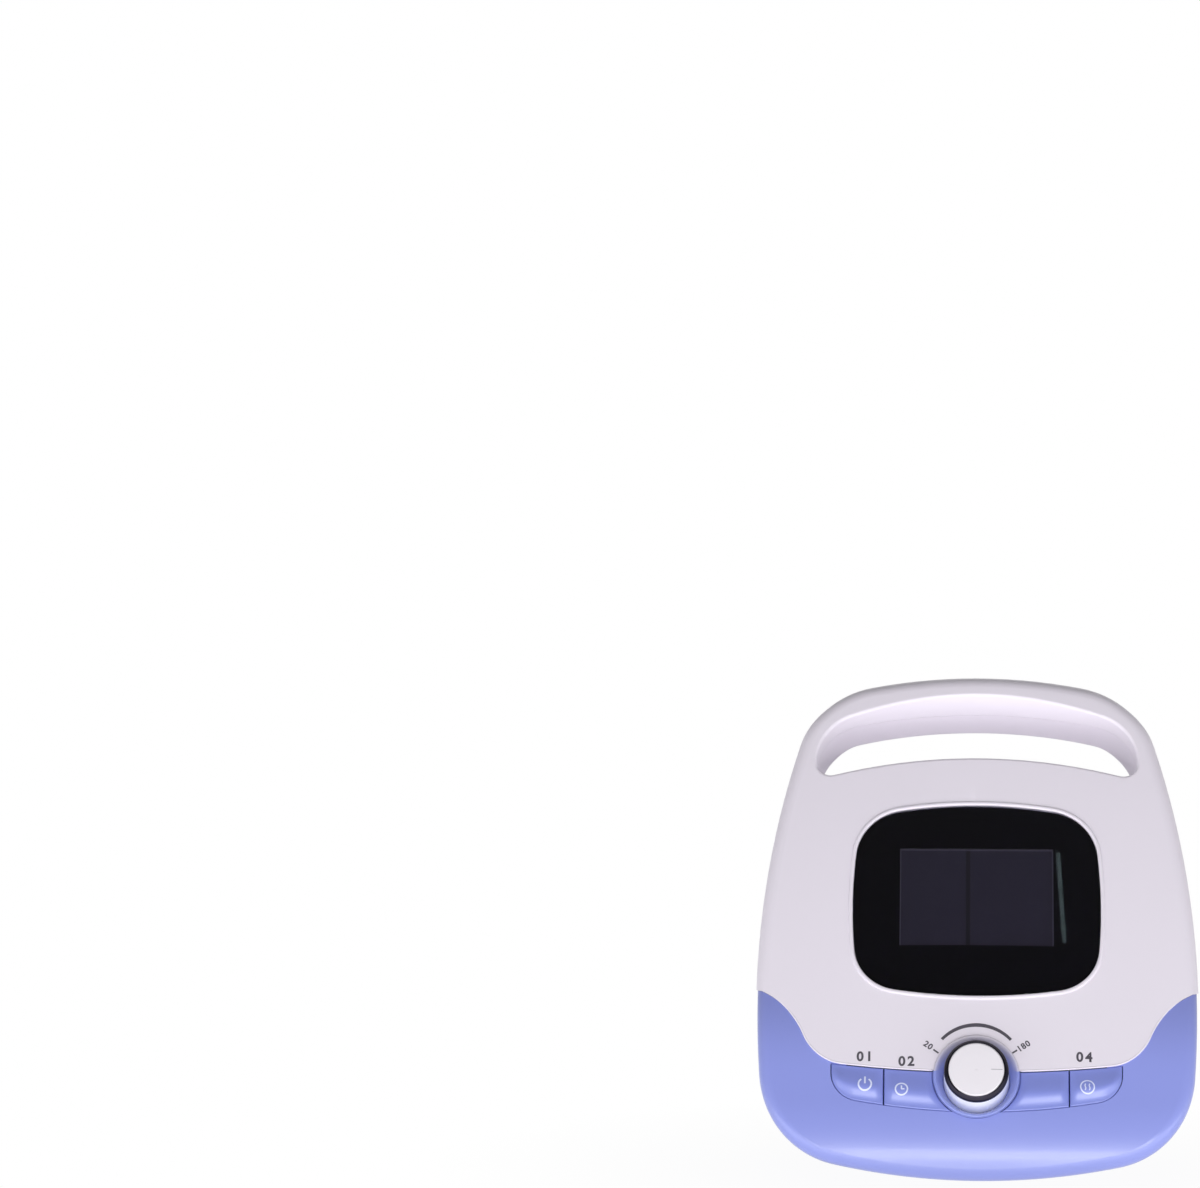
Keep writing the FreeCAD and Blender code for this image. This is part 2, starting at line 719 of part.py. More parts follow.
def knob_cap():
    top = -KNOB_HEIGHT
    return round_shape(
        [
            (0, top - 0.5), (8, top - 0.42), (KNOB_CAP_R - 0.7, top - 0.15), (KNOB_CAP_R - 0.1, top + 0.25),
            (KNOB_CAP_R, top + 0.8), (KNOB_CAP_R, top + KNOB_CAP_THICK), (0, top + KNOB_CAP_THICK),
        ]
    )


def knob_shaft():
    tip = -KNOB_HEIGHT + KNOB_RING_DEPTH + 1.5
    flatted = d_bore(SHAFT_R, tip, BUSH_TIP_DEPTH - 1.2)
    plain = bar(SHAFT_R, 0, 0, BUSH_TIP_DEPTH - 1.2, KEY_BOARD_DEPTH - 2)
    return on_face(fuse([flatted, plain]), KNOB_Z)


def potentiometer():
    under = COLLAR_FLOOR_DEPTH + COLLAR_FLOOR_THICK
    bore_r = SHAFT_R + SHAFT_CLEARANCE
    body = turned(
        [
            (bore_r, BUSH_TIP_DEPTH), (BUSH_R, BUSH_TIP_DEPTH), (BUSH_R, under), (POT_R, under),
            (POT_R, KEY_BOARD_DEPTH), (0, KEY_BOARD_DEPTH), (0, KEY_BOARD_DEPTH - 1), (bore_r, KEY_BOARD_DEPTH - 1),
        ],
        Vector(), Y_AXIS,
    )
    return on_face(body, KNOB_Z)


def shaft_nut():
    corner = NUT_ACROSS / 2 / math.cos(math.radians(30))
    y1 = COLLAR_FLOOR_DEPTH
    places = [math.radians(60 * i) for i in range(7)]
    ring = [Vector(corner * math.cos(a), y1 - NUT_THICK, corner * math.sin(a)) for a in places]
    nut = Part.Face(Part.makePolygon(ring)).extrude(Y_AXIS * NUT_THICK)
    return on_face(nut.cut(bar(BUSH_R + SHAFT_FIT, 0, 0, y1 - 5, y1 + 1)), KNOB_Z)


# ---- keys ----

def row_block(grow, y0=-20.0, y1=30.0):
    """The outline of the whole key row as a prism, drawn against the plane y = 0."""
    lean = math.radians(lean_at(KNOB_Z))
    top_r = 1 / (1 / (EDGE_SAG_R * math.cos(lean)) + math.sin(lean) / PLAN_R)
    top = (EDGE_LOW_Z - KNOB_Z) / math.cos(lean) - KEY_CLEARANCE + min(grow, 0)
    half = ROW_HALF + grow
    block = box(-half, half, y0, y1, -40, 40)
    block = block.common(bar(ROW_BOTTOM_R + grow, 0, ROW_BOTTOM + ROW_BOTTOM_R, y0, y1))
    upper = box(-FAR, FAR, y0, y1, -FAR, top_r).cut(bar(top_r, 0, top + top_r, y0, y1))
    block = block.common(upper)
    return round_along(block, Y_AXIS, ROW_CORNER_R + grow, lambda p: p.z < 0)


def key_outline(x0, x1, grow):
    """One key's share of the row between two places on X, clear of the collar."""
    strip = box(x0 - grow * (abs(x0) > ROW_SPLIT_X + 1), x1 + grow * (abs(x1) > ROW_SPLIT_X + 1), -20, 30, -60, 60)
    share = row_block(grow).common(strip)
    return on_face(share.cut(bar(COLLAR_R + KEY_CLEARANCE, 0, 0, -40, 40)), KNOB_Z)


def key(x0, x1, stem):
    """Key cap with a retaining flange behind the tub wall and a stem to its switch."""
    back = KEY_INSET + KEY_THICK
    cap = key_outline(x0, x1, 0).common(skin(KEY_INSET, back))
    flange = key_outline(x0, x1, KEY_FLANGE).common(skin(back - KEY_FLANGE_THICK, back))
    x, z = stem
    stem_start = back - 1.0 + x**2 / (2 * PLAN_R)
    end = KEY_BOARD_DEPTH - SWITCH_HEIGHT - PLUNGER_REACH
    pin = on_face(bar(KEY_STEM_R, x, z, stem_start, end), KNOB_Z)
    return fuse([cap, flange, pin])


def plunger(place):
    x, z = place
    front = KEY_BOARD_DEPTH - SWITCH_HEIGHT - PLUNGER_REACH
    back = KEY_BOARD_DEPTH - KEY_TRAVEL - 0.6
    return on_face(bar(PLUNGER_R, x, z, front, back), KNOB_Z)


def key_places():
    """Name, span on X and switch place of each key."""
    half_gap = ROW_GAP / 2
    outer, inner = OUTER_KEY, INNER_KEY
    far, split = ROW_HALF + 5, ROW_SPLIT_X
    return (
        ("power", -far, -split - half_gap, (-outer[0], outer[1])),
        ("timer", -split + half_gap, -1, (-inner[0], inner[1])),
        ("mode", 1, split - half_gap, (inner[0], inner[1])),
        ("heat", split + half_gap, far, (outer[0], outer[1])),
    )


def key_switches():
    half = SWITCH_SIZE / 2
    front = KEY_BOARD_DEPTH - SWITCH_HEIGHT
    bodies = []
    for _, _, _, (x, z) in key_places():
        body = box(x - half, x + half, front, KEY_BOARD_DEPTH, z - half, z + half)
        well = bar(PLUNGER_R + PLUNGER_CLEARANCE, x, z, front - 1, KEY_BOARD_DEPTH - 0.4)
        bodies.append(on_face(body.cut(well), KNOB_Z))
    return Part.makeCompound(bodies)


def key_board():
    half = KEY_BOARD_HALF
    back = KEY_BOARD_DEPTH + BOARD_THICK
    board = box(-half, half, KEY_BOARD_DEPTH, back, KEY_BOARD_BOTTOM, KEY_BOARD_TOP)
    board = round_along(board, Y_AXIS, 3.0, lambda p: True)
    hole_r = BOARD_SCREW[2] + SCREW_CLEARANCE
    holes = [bar(hole_r, s * KEY_BOSS[0], KEY_BOSS[1], 0, 40) for s in (-1, 1)]
    plug = plug_block(KEY_CABLE_X, back, KEY_PLUG_RISE)
    return on_face(fuse([cut(board, holes), plug]), KNOB_Z)


# ---- casings ----

def face_boss(x, z, start, end, at_z):
    """Boss behind the front wall with a pilot hole for a board screw."""
    sunk = start + x**2 / (2 * PLAN_R)
    boss = bar(BOARD_SCREW[2] + 1.9, x, z, sunk, end)
    return on_face(boss, at_z), on_face(bar(BOARD_SCREW[2] + SHAFT_FIT, x, z, end - 6, end + 1), at_z)


def both_sides(places):
    return [(s * x, y) for x, y in places for s in (-1, 1)]


def tub_additions():
    """Columns, pads, pump posts, board guides and bosses inside the tub, and the holes through them."""
    add, take = [], []
    rim = edge_places()[5].z
    for x, y in both_sides(COLUMN_PLACES):
        add.append(post(COLUMN_R, x, y, 0, rim - SEAM_GAP))
        take.append(post(COLUMN_BORE_R, x, y, -5, rim - SCREW_SHOULDER))
        take.append(post(CASE_SCREW[2] + SCREW_CLEARANCE, x, y, 0, rim + 1))
    for x, y in both_sides(FOOT_PLACES):
        add.append(post(FOOT_R + 1.5, x, y, FOOT_PAD_Z - 1.5, 9))
        take.append(post(FOOT_R + FIT, x, y, -5, FOOT_PAD_Z))
        take.append(post(FOOT_STEM_R + FIT, x, y, 0, 12))
    for x, y in pump_lugs():
        add.append(post(MOUNT_R + 1, x, y, 2, PUMP_BASE_Z - MOUNT_HEIGHT))
        take.append(post(2.2, x, y, PUMP_BASE_Z - MOUNT_HEIGHT - 5, PUMP_BASE_Z))
    y0, y1, z0, _ = POWER_BOARD
    for y in (y0 + 8, y1 - 8):
        add.append(box(POWER_BOARD_X - 4, POWER_BOARD_X + BOARD_THICK + 4, y - 3, y + 3, 4, z0 + 10))
        take.append(box(POWER_BOARD_X - 0.1, POWER_BOARD_X + BOARD_THICK + 0.1, y - 4, y + 4, z0, z0 + 12))
    return add, take


def tub_front_bosses():
    add, take = [], []
    ends = ((KEY_BOSS[0], KEY_BOARD_DEPTH), (COLLAR_TAB_X, COLLAR_FLOOR_DEPTH))
    for x, end in ends:
        for side in (-1, 1):
            boss, pilot = face_boss(side * x, KEY_BOSS[1], 2.0, end, KNOB_Z)
            add.append(boss)
            take.append(pilot)
    return add, take


def vents():
    """Slots through the rear wall of the tub, either side of the middle."""
    slots = []
    for i in range(VENT_COUNT):
        x = (i - (VENT_COUNT - 1) / 2) * VENT_PITCH
        slot = box(x - VENT_WIDTH / 2, x + VENT_WIDTH / 2, DEPTH - 10, DEPTH + 10,
                   VENT_Z - VENT_HEIGHT / 2, VENT_Z + VENT_HEIGHT / 2)
        slots.append(slot)
    return slots


def base_tub():
    shell = case_form(TUB_REVEAL).cut(case_cavity()).common(tub_zone(SEAM_GAP))
    add, take = tub_additions()
    front_add, front_take = tub_front_bosses()
    inside = [a.common(case_form(TUB_REVEAL)) for a in add]
    cup = bar(FILTER_R + 2, FILTER_X, FILTER_Z, DEPTH - WALL - FILTER_THICK - 1.5, DEPTH - 2)
    shell = fuse([shell] + inside + front_add + [cup])
    half_w, half_h = INLET_BODY[0] / 2 + FIT, INLET_BODY[1] / 2 + FIT
    inlet = box(INLET_X - half_w, INLET_X + half_w, DEPTH - 10, DEPTH + 10, INLET_Z - half_h, INLET_Z + half_h)
    holes = [
        on_face(row_block(KEY_CLEARANCE), KNOB_Z),
        on_face(box(-ROW_HALF + 8, ROW_HALF - 8, -20, 12, -5, 30), KNOB_Z),
        on_face(bar(COLLAR_R + FIT, 0, 0, -20, COLLAR_FLOOR_DEPTH - 2.5), KNOB_Z),
        bar(FILTER_R + FIT, FILTER_X, FILTER_Z, DEPTH - WALL - FILTER_THICK, DEPTH + 5),
        bar(4.0, FILTER_X, FILTER_Z, DEPTH - 20, DEPTH),
        inlet,
    ]
    return cut(shell, take + front_take + holes + vents())


def case_screw_bosses():
    """Bosses for the rear screws: long ones behind the joint and short ones in front of it."""
    rear_add, rear_take, front_add, front_take = [], [], [], []
    head_r, _, shank_r, length = CASE_SCREW
    for x, z in both_sides(REAR_SCREWS):
        seam = parting_y(z)
        rear_add.append(bar(COLUMN_R, x, z, seam - 10, DEPTH - 1))
        rear_take.append(bar(head_r + 0.6, x, z, seam + SCREW_SHOULDER, DEPTH + 10))
        rear_take.append(bar(shank_r + SCREW_CLEARANCE, x, z, seam - 20, DEPTH))
        front_add.append(bar(COLUMN_R, x, z, face_point(z).y + 2 + x**2 / (2 * PLAN_R), seam + 10))
        front_take.append(bar(shank_r + SHAFT_FIT, x, z, seam - length, seam + 20))
    return rear_add, rear_take, front_add, front_take


def column_bosses():
    """Bosses of the white halves that stand on the columns of the tub, each with a web to its wall."""
    rim = edge_places()[5].z
    add, take = [], []
    for x, y in both_sides(COLUMN_PLACES):
        add.append(post(COLUMN_R - 1, x, y, rim, rim + 16))
        if y < parting_y(rim):
            add.append(box(x - 1.3, x + 1.3, y - 14, y, rim, rim + 12))
        else:
            add.append(box(x, math.copysign(WIDTH / 2, x), y - 1.3, y + 1.3, rim, rim + 12))
        take.append(post(CASE_SCREW[2] + SHAFT_FIT, x, y, rim - 1, rim + 12))
    return add, take


def window_frame_parts():
    """Raised rim round the window and the seat behind it."""
    rim = behind_front(-RIM_PROUD).common(window(RIM_WIDTH))
    rim = rim.cut(behind_front(1.0))
    back = LENS_SINK + LENS_THICK + MASK_THICK
    seat = skin(back, back + SEAT_THICK).common(window(3.0)).cut(window(-SEAT_WIDTH))
    return rim, seat


def white_case():
    """Both white halves as one shell, before they are parted."""
    shell = outer_case().cut(case_cavity()).cut(tub_zone())
    return shell.cut(on_face(bar(COLLAR_R + FIT, 0, 0, -20, 20), KNOB_Z))


def front_housing(shell):
    rim, seat = window_frame_parts()
    back = LENS_SINK + LENS_THICK + MASK_THICK
    opening = window(0).cut(behind_front(back))
    _, _, boss_add, boss_take = case_screw_bosses()
    column_add, column_take = column_bosses()
    middle_of_wall = case_form(WALL / 2)
    extra = [a.common(middle_of_wall) for a in boss_add + column_add]
    bosses, pilots = [], []
    for x, z in display_bosses():
        boss, pilot = face_boss(x, z + SCREEN_RISE, back + 0.5, DISPLAY_BOARD_DEPTH, WINDOW_Z)
        bosses.append(boss)
        pilots.append(pilot)
    body = fuse([shell, rim, seat] + bosses + extra)
    body = cut(body, [opening, window(-SEAT_WIDTH)] + boss_take + column_take)
    body = body.common(front_side(SEAM_GAP / 2))
    return cut(body, pilots)


def rear_housing(shell):
    boss_add, boss_take, _, _ = case_screw_bosses()
    column_add, column_take = column_bosses()
    middle_of_wall = case_form(WALL / 2).cut(hand_hole(WALL / 2))
    extra = [a.common(middle_of_wall) for a in boss_add + column_add]
    arms = [bar(4.0, s * BLOCK_ARM_X, BLOCK_Z, BLOCK_Y + BLOCK_SIZE[1] / 2, DEPTH - 1) for s in (-1, 1)]
    posts = [bar(3.2, s * (MAIN_BOARD[0] - 5), z, MAIN_BOARD_Y + BOARD_THICK, DEPTH - 1)
             for s in (-1, 1) for z in (MAIN_BOARD[1] + 5, MAIN_BOARD[2] - 5)]
    body = fuse([shell] + extra + arms + posts)
    half_w, half_h = SOCKET_SIZE[0] / 2 + FIT, SOCKET_SIZE[1] / 2 + FIT
    sockets = [box(s * OUTLET_X - half_w, s * OUTLET_X + half_w, DEPTH - 8, DEPTH + 8,
                   BLOCK_Z - half_h, BLOCK_Z + half_h) for s in (-1, 1)]
    pilots = [bar(BOARD_SCREW[2] + SHAFT_FIT, s * BLOCK_ARM_X, BLOCK_Z, 0, BLOCK_Y + 20) for s in (-1, 1)]
    pilots += [bar(BOARD_SCREW[2] + SHAFT_FIT, s * (MAIN_BOARD[0] - 5), z, 100, MAIN_BOARD_Y + 8)
               for s in (-1, 1) for z in (MAIN_BOARD[1] + 5, MAIN_BOARD[2] - 5)]
    body = cut(body, boss_take + column_take + sockets + pilots)
    return body.cut(front_side(-SEAM_GAP / 2))


# ---- pump ----

def pump_lugs():
    x = PUMP_LENGTH / 2 - 16
    y = PUMP_WIDTH / 2 + LUG_REACH / 2
    return [(PUMP_X + sx * x, PUMP_Y + sy * y) for sx in (-1, 1) for sy in (-1, 1)]


def pump_centre_z():
    return PUMP_BASE_Z + PUMP_HEIGHT / 2


def pump_frame():
    x0, x1 = PUMP_X - PUMP_LENGTH / 2, PUMP_X + PUMP_LENGTH / 2
    y0, y1 = PUMP_Y - PUMP_WIDTH / 2, PUMP_Y + PUMP_WIDTH / 2
    z0, z1 = PUMP_BASE_Z, PUMP_BASE_Z + PUMP_HEIGHT
    body = round_along(box(x0, x1, y0, y1, z0, z1), X_AXIS, 5.0, lambda p: True)
    inside = box(x0 + PUMP_END_WALL, x1 - PUMP_END_WALL, y0 + PUMP_WALL, y1 - PUMP_WALL,
                 z0 + PUMP_WALL, z1 - PUMP_WALL)
    inside = round_along(inside, X_AXIS, 3.0, lambda p: True)
    bore = rod(CHAMBER_R, Vector(x0 - 1, PUMP_Y, pump_centre_z()), X_AXIS, PUMP_LENGTH + 2)
    fins = [box(x0 + 12 + 8 * i, x0 + 15 + 8 * i, y0 + 12, y1 - 12, z1 - 5, z1 + 5) for i in range(9)]
    lugs = []
    for x, y in pump_lugs():
        outward = math.copysign(1, y - PUMP_Y)
        lug = box(x - 7, x + 7, PUMP_Y + outward * (PUMP_WIDTH / 2 - 6), y + outward * 6, z0, z0 + LUG_THICK)
        lugs.append(lug.cut(post(2.4, x, y, z0 - 1, z0 + 10)))
    return fuse([cut(body, [inside, bore] + fins)] + [lug.cut(inside) for lug in lugs])


def pump_head(side):
    """Head with its chamber, screw holes and outlet barb, on the left (-1) or the right (1)."""
    length, width, height = HEAD_SIZE
    near = PUMP_X + side * (PUMP_LENGTH / 2 + DIAPHRAGM_THICK)
    far = near + side * length
    zc = pump_centre_z()
    body = box(near, far, PUMP_Y - width / 2, PUMP_Y + width / 2, zc - height / 2, zc + height / 2)
    body = round_along(body, X_AXIS, 8.0, lambda p: True)
    chamber = rod(CHAMBER_R, Vector(near - side, PUMP_Y, zc), X_AXIS * side, CHAMBER_DEPTH + 1)
    middle = near + side * (length - 6)
    spigot = post(BARB_R + 1.2, middle, PUMP_Y, zc + height / 2 - 2, zc + height / 2 + 3)
    barb = post(BARB_R, middle, PUMP_Y, zc + height / 2, zc + height / 2 + 3 + BARB_LENGTH)
    holes = [rod(HEAD_HOLE_R, Vector(near - side, PUMP_Y + y, zc + z), X_AXIS * side, length + 2)
             for y, z in HEAD_SCREW_PLACES]
    return cut(fuse([body, spigot, barb]), [chamber] + holes)


def head_barb(side):
    length, _, height = HEAD_SIZE
    x = PUMP_X + side * (PUMP_LENGTH / 2 + DIAPHRAGM_THICK + length - 6)
    return Vector(x, PUMP_Y, pump_centre_z() + height / 2 + 3)


def head_screws():
    """Cap screws that clamp each head and its diaphragm to the frame."""
    head_r, head_h, shank_r, length = HEAD_SCREW
    screws = []
    zc = pump_centre_z()
    for side in (-1, 1):
        outside = PUMP_X + side * (PUMP_LENGTH / 2 + DIAPHRAGM_THICK + HEAD_SIZE[0])
        for y, z in HEAD_SCREW_PLACES:
            start = Vector(outside, PUMP_Y + y, zc + z)
            screws.append(turned([(0, head_h), (head_r, head_h), (head_r, 0), (shank_r, 0), (shank_r, -length),
                                  (0, -length)], start, X_AXIS * side))
    return Part.makeCompound(screws)


def pump_diaphragms():
    """Rubber discs with one moulded bead, held at the rim and at the centre."""
    discs = []
    for side in (-1, 1):
        start = Vector(PUMP_X + side * PUMP_LENGTH / 2, PUMP_Y, pump_centre_z())
        t = DIAPHRAGM_THICK
        profile = [
            (STUD_R + 0.1, 0), (10, 0), (11.5, 1.2), (13.5, 1.2), (15, 0), (DIAPHRAGM_R, 0),
            (DIAPHRAGM_R, t), (14.5, t), (13, t + 1.2), (12, t + 1.2), (10.5, t), (STUD_R + 0.1, t),
        ]
        disc = turned(profile, start, X_AXIS * side)
        holes = [rod(HEAD_HOLE_R, start + Vector(-2, y, z), X_AXIS, 6) for y, z in HEAD_SCREW_PLACES]
        discs.append(cut(disc, holes))
    return Part.makeCompound(discs)


def pump_armature():
    zc = pump_centre_z()
    half = PUMP_LENGTH / 2
    hy, hz = ARMATURE_WIDTH / 2, ARMATURE_HEIGHT / 2
    reach = half - CLAMP_THICK
    parts = [box(PUMP_X - reach, PUMP_X + reach, PUMP_Y - hy, PUMP_Y + hy, zc - hz, zc + hz)]
    for side in (-1, 1):
        end = Vector(PUMP_X + side * half, PUMP_Y, zc)
        along = X_AXIS * side
        parts.append(rod(CLAMP_R, end - along * CLAMP_THICK, along, CLAMP_THICK))
        parts.append(rod(STUD_R, end - along * CLAMP_THICK, along, CLAMP_THICK + DIAPHRAGM_THICK + 3.5))
        parts.append(rod(CLAMP_R, end + along * DIAPHRAGM_THICK, along, CLAMP_THICK))
        for face in (-1, 1):
            x = PUMP_X + side * MAGNET_PITCH / 2
            length, thick, height = MAGNET_SIZE
            y = PUMP_Y + face * hy
            parts.append(box(x - length / 2, x + length / 2, y - face * 0.5, y + face * thick,
                             zc - height / 2, zc + height / 2))
    return fuse(parts)


def core_front():
    """Distance from the pump's middle to the faces of the core legs."""
    return ARMATURE_WIDTH / 2 + MAGNET_SIZE[1] + AIR_GAP


def pump_cores():
    """Two laminated E cores that face the magnets from the front and from the back."""
    cores = []
    zc = pump_centre_z()
    inner_wall = PUMP_WIDTH / 2 - PUMP_WALL
    for face in (-1, 1):
        y_wall, y_leg = PUMP_Y + face * inner_wall, PUMP_Y + face * core_front()
        y_back = PUMP_Y + face * (inner_wall - CORE_BACK)
        z0, z1 = zc - CORE_HEIGHT / 2, zc + CORE_HEIGHT / 2
        half = CORE_LENGTH / 2
        legs = [box(PUMP_X + a, PUMP_X + b, y_back, y_leg, z0, z1) for a, b in
                ((-half, -half + CORE_LEG), (-CORE_LEG / 2, CORE_LEG / 2), (half - CORE_LEG, half))]
        cores.append(fuse([box(PUMP_X - half, PUMP_X + half, y_wall, y_back, z0, z1)] + legs))
    return Part.makeCompound(cores)


def pump_coils():
    """Copper windings round the middle leg of each core."""
    coils = []
    zc = pump_centre_z()
    inner_wall = PUMP_WIDTH / 2 - PUMP_WALL
    for face in (-1, 1):
        y0 = PUMP_Y + face * (inner_wall - CORE_BACK)
        y1 = y0 - face * COIL_HEIGHT
        inner_x, inner_z = CORE_LEG / 2, CORE_HEIGHT / 2
        outer = box(PUMP_X - inner_x - COIL_WALL, PUMP_X + inner_x + COIL_WALL, y0, y1,
                    zc - inner_z - COIL_WALL, zc + inner_z + COIL_WALL)
        outer = round_along(outer, Y_AXIS, 5.0, lambda p: True)
        coils.append(outer.cut(box(PUMP_X - inner_x, PUMP_X + inner_x, y0, y1, zc - inner_z, zc + inner_z)))
    return Part.makeCompound(coils)


def pump_mounts():
    """Waisted rubber mounts between the posts of the tub and the lugs of the pump."""
    r, h = MOUNT_R, MOUNT_HEIGHT
    profile = [
        (0, -4), (2.1, -4), (2.1, 0), (r, 0), (r, 2), (r - 1.5, h / 2), (r, h - 2), (r, h),
        (2.3, h), (2.3, h + LUG_THICK), (3.6, h + LUG_THICK), (2.6, h + LUG_THICK + 2.5), (0, h + LUG_THICK + 2.5),
    ]
    mounts = [turned(profile, Vector(x, y, PUMP_BASE_Z - h), Z_AXIS) for x, y in pump_lugs()]
    return Part.makeCompound(mounts)


# ---- valves, tubes and outlets ----

def outlet_places():
    """X of every outlet, left socket first."""
    offsets = [(i - (NOZZLES - 1) / 2) * OUTLET_PITCH for i in range(NOZZLES)]
    return [side * OUTLET_X + o for side in (-1, 1) for o in offsets]


def inlet_barbs():
    """X of the two barbs under the valve block, beside the barbs of the pump heads."""
    return [head_barb(side).x - side * TUBE_OFFSET for side in (-1, 1)]


def valve_block():
    length, width, height = BLOCK_SIZE
    body = box(-length / 2, length / 2, BLOCK_Y - width / 2, BLOCK_Y + width / 2,
               BLOCK_Z - height / 2, BLOCK_Z + height / 2)
    body = round_along(body, Z_AXIS, 3.0, lambda p: True)
    rear, under = BLOCK_Y + width / 2, BLOCK_Z - height / 2
    barbs = [bar(BARB_R, x, BLOCK_Z, rear - 1, rear + BARB_LENGTH) for x in outlet_places()]
    barbs += [post(BARB_R, x, BLOCK_Y, under - BARB_LENGTH, under + 1) for x in inlet_barbs()]
    wells = [post(VALVE_BORE_R, x, BLOCK_Y, BLOCK_Z + VALVE_SEAT, BLOCK_Z + height) for x in VALVE_X]
    hole_r = BOARD_SCREW[2] + SCREW_CLEARANCE
    holes = [bar(hole_r, s * BLOCK_ARM_X, BLOCK_Z, 0, FAR) for s in (-1, 1)]
    heads = [bar(BOARD_SCREW[0] + 0.3, s * BLOCK_ARM_X, BLOCK_Z, 0, rear - 3.5) for s in (-1, 1)]
    return cut(fuse([body] + barbs), wells + holes + heads)


def valve_coils():
    top = BLOCK_Z + BLOCK_SIZE[2] / 2
    h = VALVE_COIL_HEIGHT
    bore = VALVE_BORE_R
    profile = [(bore, 0), (COIL_R - 2, 0), (COIL_R, 2), (COIL_R, h - 2), (COIL_R - 2, h), (0, h),
               (0, h - COIL_CROWN), (bore, h - COIL_CROWN)]
    return Part.makeCompound([turned(profile, Vector(x, BLOCK_Y, top), Z_AXIS) for x in VALVE_X])


def valve_plunger(x):
    bottom = BLOCK_Z + VALVE_SEAT
    return post(VALVE_PLUNGER_R, x, BLOCK_Y, bottom, bottom + VALVE_PLUNGER_HEIGHT)


def valve_springs():
    """Coil springs between the plungers and the closed tops of the coils."""
    bottom = BLOCK_Z + VALVE_SEAT + VALVE_PLUNGER_HEIGHT
    top = BLOCK_Z + BLOCK_SIZE[2] / 2 + VALVE_COIL_HEIGHT - COIL_CROWN
    height = top - bottom - 2 * SPRING_WIRE_R
    helix = Part.Wire(Part.makeHelix(height / SPRING_TURNS, height, SPRING_R).Edges)
    ring = Part.Wire([Part.makeCircle(SPRING_WIRE_R, Vector(SPRING_R, 0, 0), Y_AXIS)])
    spring = helix.makePipeShell([ring], True, True)
    springs = []
    for x in VALVE_X:
        placed = spring.copy()
        placed.translate(Vector(x, BLOCK_Y, bottom + SPRING_WIRE_R))
        springs.append(placed)
    return Part.makeCompound(springs)


def bent_path(points, bend):
    """Straight runs joined by tangent arcs of one radius."""
    edges, at = [], points[0]
    for before, corner, after in zip(points, points[1:], points[2:]):
        back = (before - corner).normalize()
        onward = (after - corner).normalize()
        half = back.getAngle(onward) / 2
        reach = bend / math.tan(half)
        start, end = corner + back * reach, corner + onward * reach
        centre = corner + (back + onward).normalize() * (bend / math.sin(half))
        edges.append(Part.LineSegment(at, start).toShape())
        edges.append(arc_on(centre, bend, start, end))
        at = end
    edges.append(Part.LineSegment(at, points[-1]).toShape())
    return Part.Wire(edges)


def tube_along(points, radius, bore, bend):
    """Tube along straight runs joined by tangent arcs of one radius."""
    path = bent_path(points, bend)
    along = (points[1] - points[0]).normalize()
    solids = []
    for r in (radius, bore):
        ring = Part.Wire([Part.makeCircle(r, points[0], along)])
        solids.append(path.makePipeShell([ring], True, True))
    return solids[0].cut(solids[1])


def pump_tubes():
    """Silicone tubes from the pump heads up to the valve block."""
    tubes = []
    for side, x in zip((-1, 1), inlet_barbs()):
        barb = head_barb(side)
        under = BLOCK_Z - BLOCK_SIZE[2] / 2
        points = [barb, barb + Z_AXIS * TUBE_STRAIGHT, Vector(x, BLOCK_Y, under - TUBE_STRAIGHT),
                  Vector(x, BLOCK_Y, under)]
        tubes.append(tube_along(points, TUBE_R, TUBE_BORE_R, TUBE_BEND_R))
    return Part.makeCompound(tubes)


def outlet_tubes():
    y0 = BLOCK_Y + BLOCK_SIZE[1] / 2
    y1 = DEPTH - SOCKET_BODY_DEPTH
    tubes = [bar(TUBE_R, x, BLOCK_Z, y0, y1).cut(bar(TUBE_BORE_R, x, BLOCK_Z, y0, y1)) for x in outlet_places()]
    return Part.makeCompound(tubes)


def outlet_sockets():
    """Left and right outlet plates, each with a row of nozzles for one sleeve."""
    sockets = []
    for side in (-1, 1):
        x = side * OUTLET_X
        w, h = SOCKET_SIZE[0] / 2, SOCKET_SIZE[1] / 2
        f = SOCKET_FLANGE
        front = DEPTH - SOCKET_BODY_DEPTH
        plate = DEPTH + SOCKET_FLANGE_THICK
        body = round_along(box(x - w, x + w, front, DEPTH + 1, BLOCK_Z - h, BLOCK_Z + h),
                           Y_AXIS, 3.0, lambda p: True)
        flange = round_along(box(x - w - f, x + w + f, DEPTH, plate, BLOCK_Z - h - f, BLOCK_Z + h + f),
                             Y_AXIS, 5.0, lambda p: True)
        places = [p for p in outlet_places() if p * side > 0]
        nozzles = [bar(NOZZLE_R, p, BLOCK_Z, DEPTH, plate + NOZZLE_LENGTH) for p in places]
        barbs = [bar(BARB_R, p, BLOCK_Z, front - BARB_LENGTH, front + 1) for p in places]
        bores = [bar(NOZZLE_BORE_R, p, BLOCK_Z, front - BARB_LENGTH - 1, plate + NOZZLE_LENGTH + 1)
                 for p in places]
        sockets.append(cut(fuse([body, flange] + nozzles + barbs), bores))
    return Part.makeCompound(sockets)


# ---- electrics ----

def stadium(width, height, y0, y1, x, z):
    """Slot-shaped block along Y."""
    half = (width - height) / 2
    ends = [bar(height / 2, x + s * half, z, y0, y1) for s in (-1, 1)]
    return fuse([box(x - half, x + half, y0, y1, z - height / 2, z + height / 2)] + ends)


